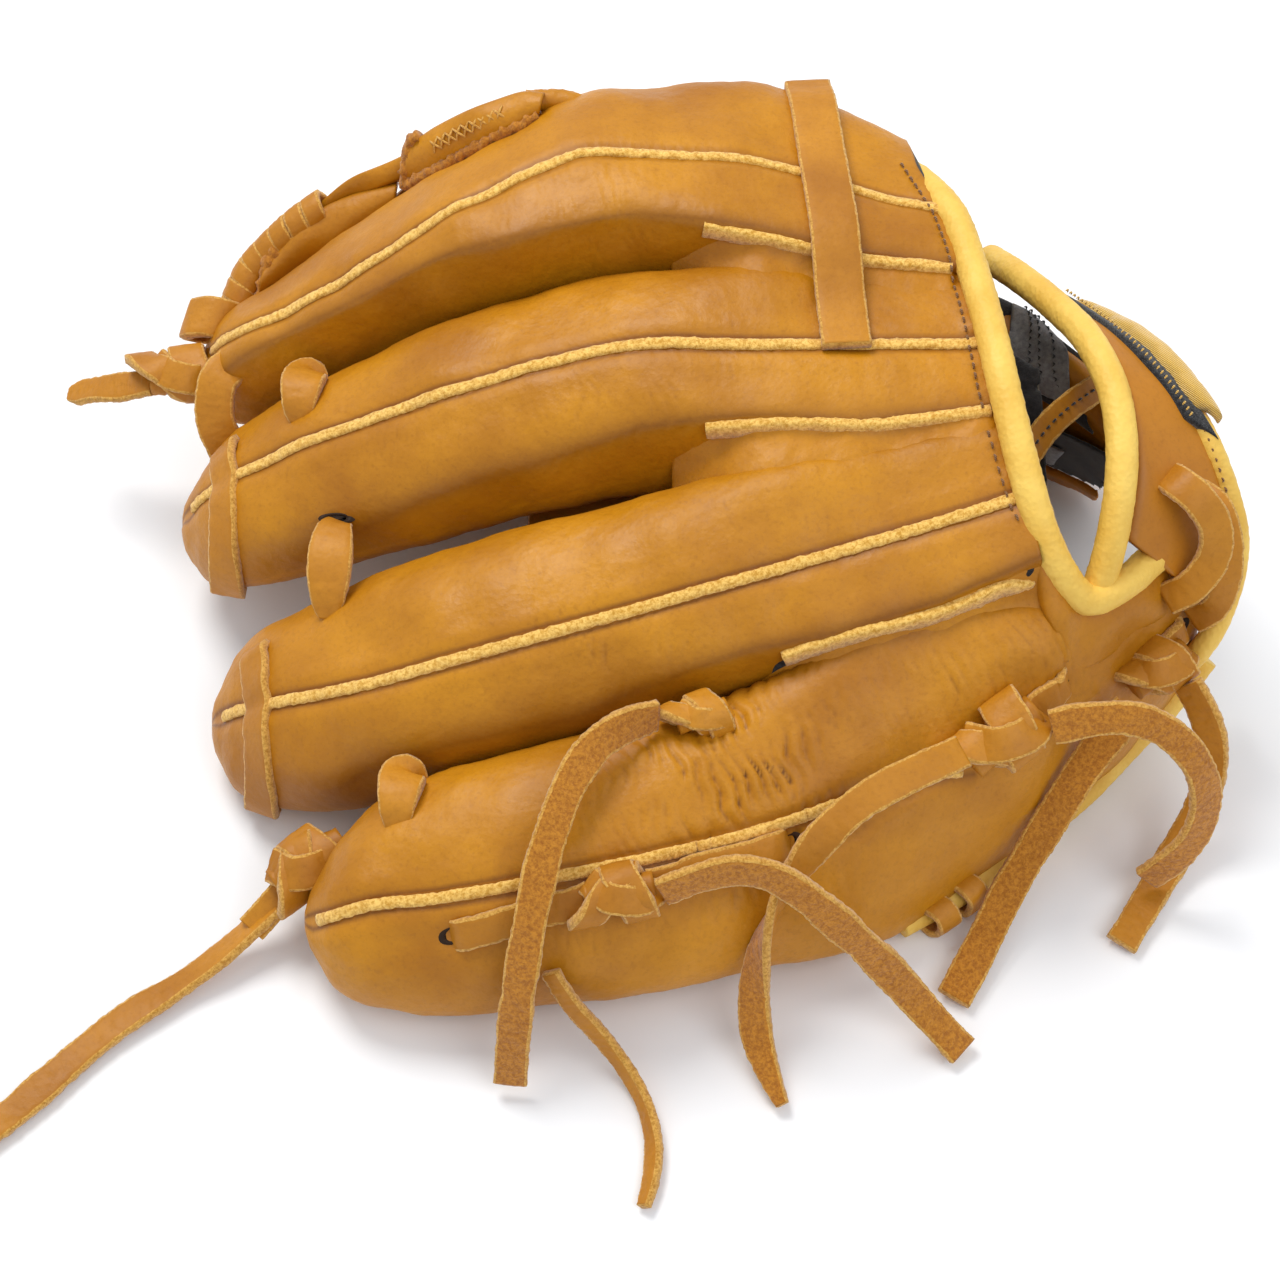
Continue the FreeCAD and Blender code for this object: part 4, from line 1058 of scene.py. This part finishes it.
def make_tails():
    for k, (name, (width, flesh, leans, taper)) in enumerate(TAIL_LOOKS.items()):
        route = TAILS[name]
        points = spline_points(name, route, 170)
        tangent, _, ups = frames(points, TO_CAMERA)
        at = np.linspace(0, 1, len(points))
        lean = np.radians(plan_limit(leans, at) + 6 * np.sin(at * 9 + k))
        outline, sides = strip_outline(width, 2.3)
        widths = 1 + 0.05 * ripple(points, 16, k + 90) - taper * np.clip((at - 0.82) / 0.18, 0, 1) ** 1.3
        ups = turned(ups, tangent, lean)
        tail = sweep(name + "_lace", points, ups, outline, FLESH_LACE if flesh else LACE, 0.10, k + 100, sides,
                     widths=widths)
        settle(tail, "hand" if name == "index_tip_tail" else "pinky_side", "lace", name)


def band(name, centre, axis, up, half_long, half_high, width, thickness, body, tilt, seed, *nodes):
    """A lace wound once round an axis: a closed flat loop."""
    centre, axis = np.asarray(centre), unit(axis)
    side = unit(np.cross(axis, up))
    turn = np.linspace(0, 2 * math.pi, 56, endpoint=False)
    offset = axis[None, :] * (math.tan(math.radians(tilt)) * half_long * np.cos(turn))[:, None]
    path = (centre + side[None, :] * (half_long * np.cos(turn))[:, None]
            + np.cross(side, axis)[None, :] * (half_high * np.sin(turn))[:, None] + offset)
    path = path + 0.35 * np.stack([ripple(path, 9, seed + c) for c in range(3)], axis=1)
    outline, sides = strip_outline(width, thickness)
    loop = sweep(name, path, unit(path - centre - offset), outline, LACE, 0.07, seed, sides, closed=True)
    settle(loop, body, "lace", *nodes)


def strip_piece(name, points, ups, width, thickness, body, seed, *nodes, count=60, widths=None):
    """A flat lace through the given points."""
    if np.ndim(ups) == 2:
        ups = stretch_over(np.asarray(ups), count)
    outline, sides = strip_outline(width, thickness)
    strip = sweep(name, smooth_path(points, count), ups, outline, LACE, 0.08, seed, sides, widths=widths)
    settle(strip, body, "lace", *nodes)


# Each knot: centre, direction of its long axis, the finger it sits on, body, the two wraps' tilts, and size.
KNOTS = {
    "little_tip_knot": ((-82, -49, 18), (0.82, 0.57, 0.1), None, "pinky_side", 14, -38, 1.15),
    "knuckle_knot": ((12, -28, 57), (0.94, 0.34, 0.0), "little", "pinky_side", 18, 52, 0.72),
    "side_knot": ((-5, -71, 42.8), (0.98, 0.17, 0.1), "little", "pinky_side", 16, -50, 0.95),
    "heel_knot": ((87, -32.6, 51.3), (0.77, 0.50, 0.3), "little", "pinky_side", -12, 48, 1.15),
    "wrist_knot": ((129, -7.6, 43), (0.77, 0.55, 0.2), "little", "pinky_side", 15, 40, 0.95),
    "index_tip_knot": ((-124, 88.5, 44), (0.98, 0.17, 0.0), None, "hand", 12, 50, 1.1),
}


def make_knots(skins):
    for k, (name, (centre, axis, host, body, first, second, size)) in enumerate(KNOTS.items()):
        centre = np.asarray(centre, float)
        if host:
            centre, _ = skins[host].nearest(centre, 3.8 * size)
        axis = unit(axis) * size
        side = unit(np.cross(axis, TO_CAMERA)) * size
        lift = TO_CAMERA * 2.6 * size
        band(name + "_wrap", centre + axis * 2.6, axis, TO_CAMERA, 6.2 * size, 4.6 * size, 8.6 * size, 2.8,
             body, first, 110 + k, name)
        band(name + "_cross", centre - axis * 3.6, axis, TO_CAMERA, 5.6 * size, 4.2 * size, 7.0 * size, 2.6,
             body, second, 120 + k)
        line = np.linspace(-8.5, 9, 24)[:, None] * axis + centre
        core = sweep(name + "_core", line, TO_CAMERA, round_outline(3.9 * size, 16, 0.85), [M["lace"]], 0.2, k)
        settle(core, body, "lace")
        over = [centre - axis * 6.5 - side * 4.2, centre - axis * 2.4 + lift * 2.2,
                centre + axis * 4.5 + side * 2.2 + lift * 1.9, centre + axis * 9 + side * 1]
        strip_piece(name + "_turn", over, TO_CAMERA, 7.4 * size, 2.3, body, 130 + k)


def make_surface_laces(skins):
    """Laces that run flat over the leather from a hole to a knot, or from one finger to the next."""
    little = skins["little"]
    runs = {
        "side_lace_front": [(-44, -76, 32), (-34, -76, 36), (-22, -74, 40), (-11, -72, 42)],
        "side_lace_back": [(35, -56, 41), (25, -61, 43), (14, -66, 44), (2, -70, 44)],
        "heel_lace": [(103, -18, 53), (98, -23, 53), (92, -29, 52)],
        "wrist_lace": [(137, 2, 46), (133, -3, 45), (128, -8, 44)],
    }
    lead = [(-80, -47, 20), (-85, -52, 17), (-90, -57, 13.5), (-96, -62, 9)]
    strip_piece("little_tip_lead", lead, TO_CAMERA, 7.5, 2.2, "pinky_side", 179)
    for k, (name, points) in enumerate(runs.items()):
        path, normal = little.run(points, 1.3)
        path[0] -= normal[0] * 2.6
        path[1] -= normal[1] * 0.6
        strip_piece(name, path, normal, 7.6, 2.2, "pinky_side", 180 + k)
        hole_at, up = little.nearest(points[0], 0.2)
        dark_hole(name + "_hole", hole_at, up, unit(path[2] - path[0]), 2.8, 2.0, "pinky_side")


def dark_hole(name, centre, up, along, long, wide, body):
    """The mouth of a lace hole: a shallow dish in painted shadow, with a soft rim."""
    side = unit(np.cross(up, along))
    along = np.cross(side, up)
    points = [centre - up * 0.5]
    turn = np.linspace(0, 2 * math.pi, 20, endpoint=False)
    for size, height in ((0.6, -0.2), (1.0, 0.15), (1.2, -0.2)):
        points += [centre + along * long * size * math.cos(a) + side * wide * size * math.sin(a) + up * height
                   for a in turn]
    faces = [(0, 1 + k, 1 + (k + 1) % 20) for k in range(20)]
    faces += [tuple(1 + i for i in face) for face in loop_faces(3, 20)]
    settle(add_mesh(name, points, faces, [M["hole"]]), body, None)


def bridge(first, second, skins, x, start_y, end_y, hump, body, seed):
    """A lace from one finger to the next over their valley, sunk in the leather at both ends."""
    name = f"{first}_{second}"
    order = np.arange(9)
    ys = np.linspace(start_y, end_y, 9)
    heights = np.array([top_height(skins, (first, second), x, y) for y in ys])
    heights = np.interp(order, order[heights > 0], heights[heights > 0])
    floor = np.linspace(heights[0], heights[-1], 9)
    arch = np.sin(np.linspace(0, math.pi, 9)) ** 0.6
    z = np.maximum(heights, floor) + hump * arch - 3.4 * (1 - arch)
    path = np.stack([x - 1.2 * order / 8, ys, z], axis=1)
    swell = 0.4 + 0.6 * np.sin(np.linspace(0, math.pi, 60)) ** 0.7
    strip_piece(name + "_bridge", path, TO_CAMERA, 11.0, 4.2, body, seed, name + "_tip_lace", widths=swell)
    top = np.array([x, start_y + 0.5, heights[0] + 0.1])
    dark_hole(name + "_bridge_hole", top, unit((0, -0.3, 1)), np.array([1.0, 0, 0]), 4.0, 1.3, body)


def tip_cap(finger, skins, x, first, last, body, seed):
    """A lace laid round the end of a finger, in and out of two slits."""
    skin = skins[finger]
    ring = int(np.argmin(np.abs(skin.points[:, 0, 0] - x)))
    columns = np.arange(first, last + 1) % skin.ROUND
    normal = skin.normals()[ring, columns]
    rise = 1.4 * np.minimum(1, 8 * np.sin(np.linspace(0, math.pi, len(columns)))) - 1.4
    path = skin.points[ring, columns] + normal * (rise + 1.3)[:, None]
    path[:, 0] += 2.2 * np.sin(np.linspace(0, math.pi, len(columns)))
    strip_piece(finger + "_tip_cap", path[::3], normal[::3], 9.0, 2.4, body, seed, finger + "_tip_strip")
    dark_hole(finger + "_tip_cap_hole", path[-4], normal[-4], unit(path[-1] - path[-8]), 2.6, 1.6, body)


def make_tip_laces(skins):
    bridge("index", "middle", skins, -87, 77, 59, 3.4, "hand", 190)
    bridge("middle", "ring", skins, -77, 30, 7, 3.6, "hand", 191)
    bridge("ring", "little", skins, -57, -33, -50, 3.2, "pinky_side", 192)
    tip_cap("middle", skins, -109, -16, 50, "hand", 193)
    tip_cap("ring", skins, -96.5, -20, 50, "pinky_side", 194)
    tip_roll = [(-109, 86, 52), (-113, 80, 51), (-114, 73, 44), (-111, 68, 36)]
    strip_piece("index_tip_roll", tip_roll, TO_CAMERA, 10, 3.8, "hand", 195)
    band("web_top_knot", (-117.5, 105, 48), (0.3, 0.8, 0.5), TO_CAMERA, 6.0, 4.4, 11.0, 3.2, "hand", 14, 196)
    make_finger_strap(skins)


def make_finger_strap(skins):
    """The flat strap over the index finger, from the thumb side to the middle finger's welt."""
    ys = np.linspace(143, 51, 36)
    xs = np.interp(ys, [51, 143], [50.5, 44.5])
    z = np.array([top_height(skins, ("index", "middle"), x, y) for x, y in zip(xs, ys)])
    for _ in range(6):
        z[1:-1] = np.maximum(z[1:-1], 0.5 * (z[:-2] + z[2:]))
    z = np.convolve(np.pad(z, 2, mode="edge"), np.ones(5) / 5, "valid") + 1.5
    path = np.stack([xs, ys, z], axis=1)
    strip_piece("index_strap", path, UP, 12.0, 2.5, "hand", 197, "index_finger_strap", count=110)


def soft_copy(node, body, slot, material, voxel, seed):
    """A softened piece in the space of a CAD node: remeshed, smoothed and gently rumpled."""
    name = node + "_piece"
    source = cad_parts[node]
    mesh = source.data.copy()
    mesh.name = name
    mesh.transform(source.matrix_world)
    thing = bpy.data.objects.new(name, mesh)
    bpy.context.scene.collection.objects.link(thing)
    remesh = thing.modifiers.new("remesh", "REMESH")
    remesh.mode = "VOXEL"
    remesh.voxel_size = voxel / 1000
    remesh.use_smooth_shade = True
    relax = thing.modifiers.new("relax", "SMOOTH")
    relax.factor = 0.5
    relax.iterations = 4
    bpy.context.view_layer.update()
    final = bpy.data.meshes.new_from_object(thing.evaluated_get(bpy.context.evaluated_depsgraph_get()))
    final.name = name
    thing.modifiers.clear()
    thing.data = final
    final.materials.clear()
    final.materials.append(M[material])
    co, normal = np.empty(len(final.vertices) * 3), np.empty(len(final.vertices) * 3)
    final.vertices.foreach_get("co", co)
    final.vertices.foreach_get("normal", normal)
    points = co.reshape(-1, 3) * 1000
    points = points + normal.reshape(-1, 3) * (0.15 * ripple(points, 12.0, seed))[:, None]
    final.vertices.foreach_set("co", (points / 1000).reshape(-1))
    final.polygons.foreach_set("use_smooth", [True] * len(final.polygons))
    final.update()
    settle(thing, body, slot, node)


def make_linings():
    pieces = [
        ("hand", "lining", "lining", "index_lining middle_lining palm_lining"),
        ("pinky_side", "lining", "lining", "ring_lining little_lining"),
        ("thumb_side", "lining", "lining", "thumb_lining thumb_heel_lining"),
        ("hand", "felt", "felt", "palm_felt_pad"),
        ("pinky_side", "felt", "felt", "little_felt_insert"),
        ("thumb_side", "felt", "felt", "thumb_felt_insert"),
        ("hand", "palm_leather", "palm", "palm_leather"),
        ("pinky_side", "palm_leather", "palm", "palm_leather_little_side"),
        ("thumb_side", "palm_leather", "palm", "thumb_heel_facing"),
        ("thumb_side", "label", "label", "inner_label"),
    ]
    seed = 140
    for body, slot, material, nodes in pieces:
        for node in nodes.split():
            soft_copy(node, body, slot, material, 0.9 if node == "inner_label" else 1.2, seed)
            seed += 1


def make_web():
    """The closed web, two panels laced along their middle, and the crotch panel that joins it to the palm."""
    index_edge, middle, thumb_edge = (smooth_path([row[k] for row in WEB], 70) for k in range(3))
    first, second = (smooth_path([row[k] for row in CROTCH], 50) for k in range(2))
    to_web = (0, 1, 0)
    outward = facing(unit(np.cross(np.gradient(middle, axis=0), index_edge - thumb_edge)), to_web)
    away = facing(unit(np.cross(np.gradient(first, axis=0), first - second)), to_web)
    outline, sides = strip_outline(6.5, 2.2)
    pieces = {
        "web_index_panel": panel("web_upper", index_edge, middle, outward, 2.6, PANEL, 2.5, seed=160,
                                 rumple=0.5),
        "web_thumb_panel": panel("web_lower", middle, thumb_edge, outward, 2.6, PANEL, 1.8, seed=161,
                                 rumple=0.5),
        "web_lace": sweep("web_lacing", middle + outward * 2.4, outward, outline, LACE, 0.08, 162, sides),
        "crotch_panel": panel("crotch_leather", first, second, away, 2.6, PANEL, 1.5, seed=163, rumple=0.4),
    }
    for node, piece in pieces.items():
        fold(piece, "thumb_side", WEB_FOLD, "lace" if node == "web_lace" else "palm_leather", node)
    make_web_trim()


def coil(name, line, radius, turns, width, body, seed):
    """A lace wound round and round along a line."""
    path = even(line, turns * 26)
    _, side, lift = frames(path, UP)
    turn = np.linspace(0, 2 * math.pi * turns, len(path))
    outward = side * np.cos(turn)[:, None] + lift * np.sin(turn)[:, None]
    outline, sides = strip_outline(width, 1.9)
    settle(sweep(name, path + outward * radius, outward, outline, LACE, 0.08, seed, sides), body, "lace")


# Runs of the web's trim: the wound lace, both edges of its three padded pieces, and the top strip.
WOUND = [(-113, 108, 46), (-108, 117.5, 53), (-102, 122.2, 58), (-94, 126.1, 64), (-85.6, 130.5, 68)]
DOME = [(-103, 118, 56), (-91.5, 127, 65), (-81, 131.5, 69), (-66, 133, 73)]
DOME_LOW = [(-105, 112, 48), (-90.6, 119.5, 55), (-81.3, 122, 59), (-67.1, 128, 65)]
NECK = [(-88.6, 131.4, 66), (-80.7, 134.1, 72), (-72.1, 134.3, 77), (-60, 135.2, 83)]
NECK_LOW = [(-85.5, 131, 63), (-79.7, 132, 67), (-71, 131.3, 72), (-60, 131.5, 78)]
FLAP = [(-62.5, 134, 85), (-53.3, 134, 93.5), (-42.4, 134.5, 99), (-31.6, 135.5, 103), (-25, 134.4, 103.5)]
FLAP_LOW = [(-63.5, 129, 75), (-54, 127, 83), (-43, 127, 91), (-33, 127.5, 97), (-26.5, 129, 100)]
TOP_STRIP = [(-30, 134.2, 101), (-21.1, 134.5, 101), (-14.5, 133.3, 100), (-5, 133, 98)]


def make_web_trim():
    """The web's folded flap with a raw edge and stitches, its neck, tip pad, top strip and wound lacing."""
    coil("web_wound_lacing", smooth_path(WOUND, 80), 3.6, 8, 5.4, "hand", 165)
    pads = (("web_flap", FLAP, FLAP_LOW, 3.4, 2.6), ("web_tip_dome", DOME, DOME_LOW, 3.4, 3.2),
            ("web_neck", NECK, NECK_LOW, 3.0, 1.2))
    for k, (name, high, low, thickness, crown) in enumerate(pads):
        high, low = smooth_path(high, 70), smooth_path(low, 70)
        out = np.broadcast_to(TO_CAMERA, high.shape)
        pad = panel(name, high + out * 1.5, low + out * 1.5, out, thickness, PANEL, crown, painted_edge_shade=0.5,
                    seed=166 + k, rumple=0.5)
        settle(pad, "hand", "palm_leather")
        if name != "web_neck":
            rim = even(np.vstack([high[8:0:-2], low[::3]]) + TO_CAMERA * 1.6, 90)
            edge = sweep(name + "_raw_edge", rim, TO_CAMERA, round_outline(1.9, 10, 1.1), [M["suede"]], 0.4,
                         170 + k)
            settle(edge, "hand", "palm_leather")
    top = sweep("web_top_strip", smooth_path(TOP_STRIP, 50), UP, round_outline(3.0, 16, 0.9), [M["shell"]],
                0.1, 164)
    settle(top, "hand", "palm_leather")
    middle = (smooth_path(FLAP, 60) + smooth_path(FLAP_LOW, 60)) / 2 + TO_CAMERA * 4.0
    for k, tilt in enumerate((0.9, -0.9)):
        stitches(f"web_cross_stitches_{k}", middle[16:44], TO_CAMERA, 2.2, 4.6, 0.34, "edge", 0.3, tilt)


def lining_patch(name, skin, corners, lift, material):
    """A thin sheet laid on a leather's surface inside four corners."""
    count = 26
    a, b, c, d = (np.asarray(corner, float) for corner in corners)
    s, t = (v[..., None] for v in np.meshgrid(*[np.linspace(0, 1, count)] * 2, indexing="ij"))
    grid = (a * (1 - s) + b * s) * (1 - t) + (d * (1 - s) + c * s) * t
    found = [skin.nearest(p, lift) for p in grid.reshape(-1, 3)]
    top = np.array([f[0] for f in found]).reshape(count, count, 3)
    for _ in range(6):
        soften(top)
    normal = found[len(found) // 2][1]
    loops = np.concatenate([top, (top - normal * 0.8)[:, ::-1]], axis=1)
    sheet = add_mesh(name, loops.reshape(-1, 3), tube_faces(count, 2 * count), [M[material]])
    settle(sheet, "thumb_side", "lining")
    return top, normal


def make_hand_lining(skins):
    """Inside the hand opening: the dark lining, the plain grey label sewn on it, and the stitched facing."""
    thumb = skins["thumb"]
    lining = [(88, 106, 64), (116, 94, 70), (122, 68, 46), (96, 68, 48)]
    label = [(99, 94, 62), (109, 90, 67), (116, 72, 54), (103, 71, 52)]
    lining_patch("opening_lining", thumb, lining, 1.0, "lining")
    top, normal = lining_patch("grey_label", thumb, label, 2.0, "label")
    for k, row in enumerate((7, 11, 18)):
        stitches(f"label_stitches_{k}", top[row], normal, 1.8, 1.4, 0.32, "black_thread", 0.2,
                 body="thumb_side")
    path = smooth_path([(98, 44, 63), (104, 51.5, 66), (110, 57.5, 67), (117, 64, 66), (122, 70, 63)], 60)
    strip_piece("opening_facing", path, TO_CAMERA, 7.0, 2.2, "hand", 199)
    stitches("facing_stitches", path[4:-4], TO_CAMERA, 2.2, 1.6, 0.32, "black_thread", 1.3)


# ---------------------------------------------------------------- making the glove

make_camera()
make_tails()
make_studio()
skins = make_skins()
make_welts(skins)
make_bindings(skins)
make_strap()
make_knots(skins)
make_surface_laces(skins)
make_linings()
make_web()
make_hand_lining(skins)
make_tip_laces(skins)
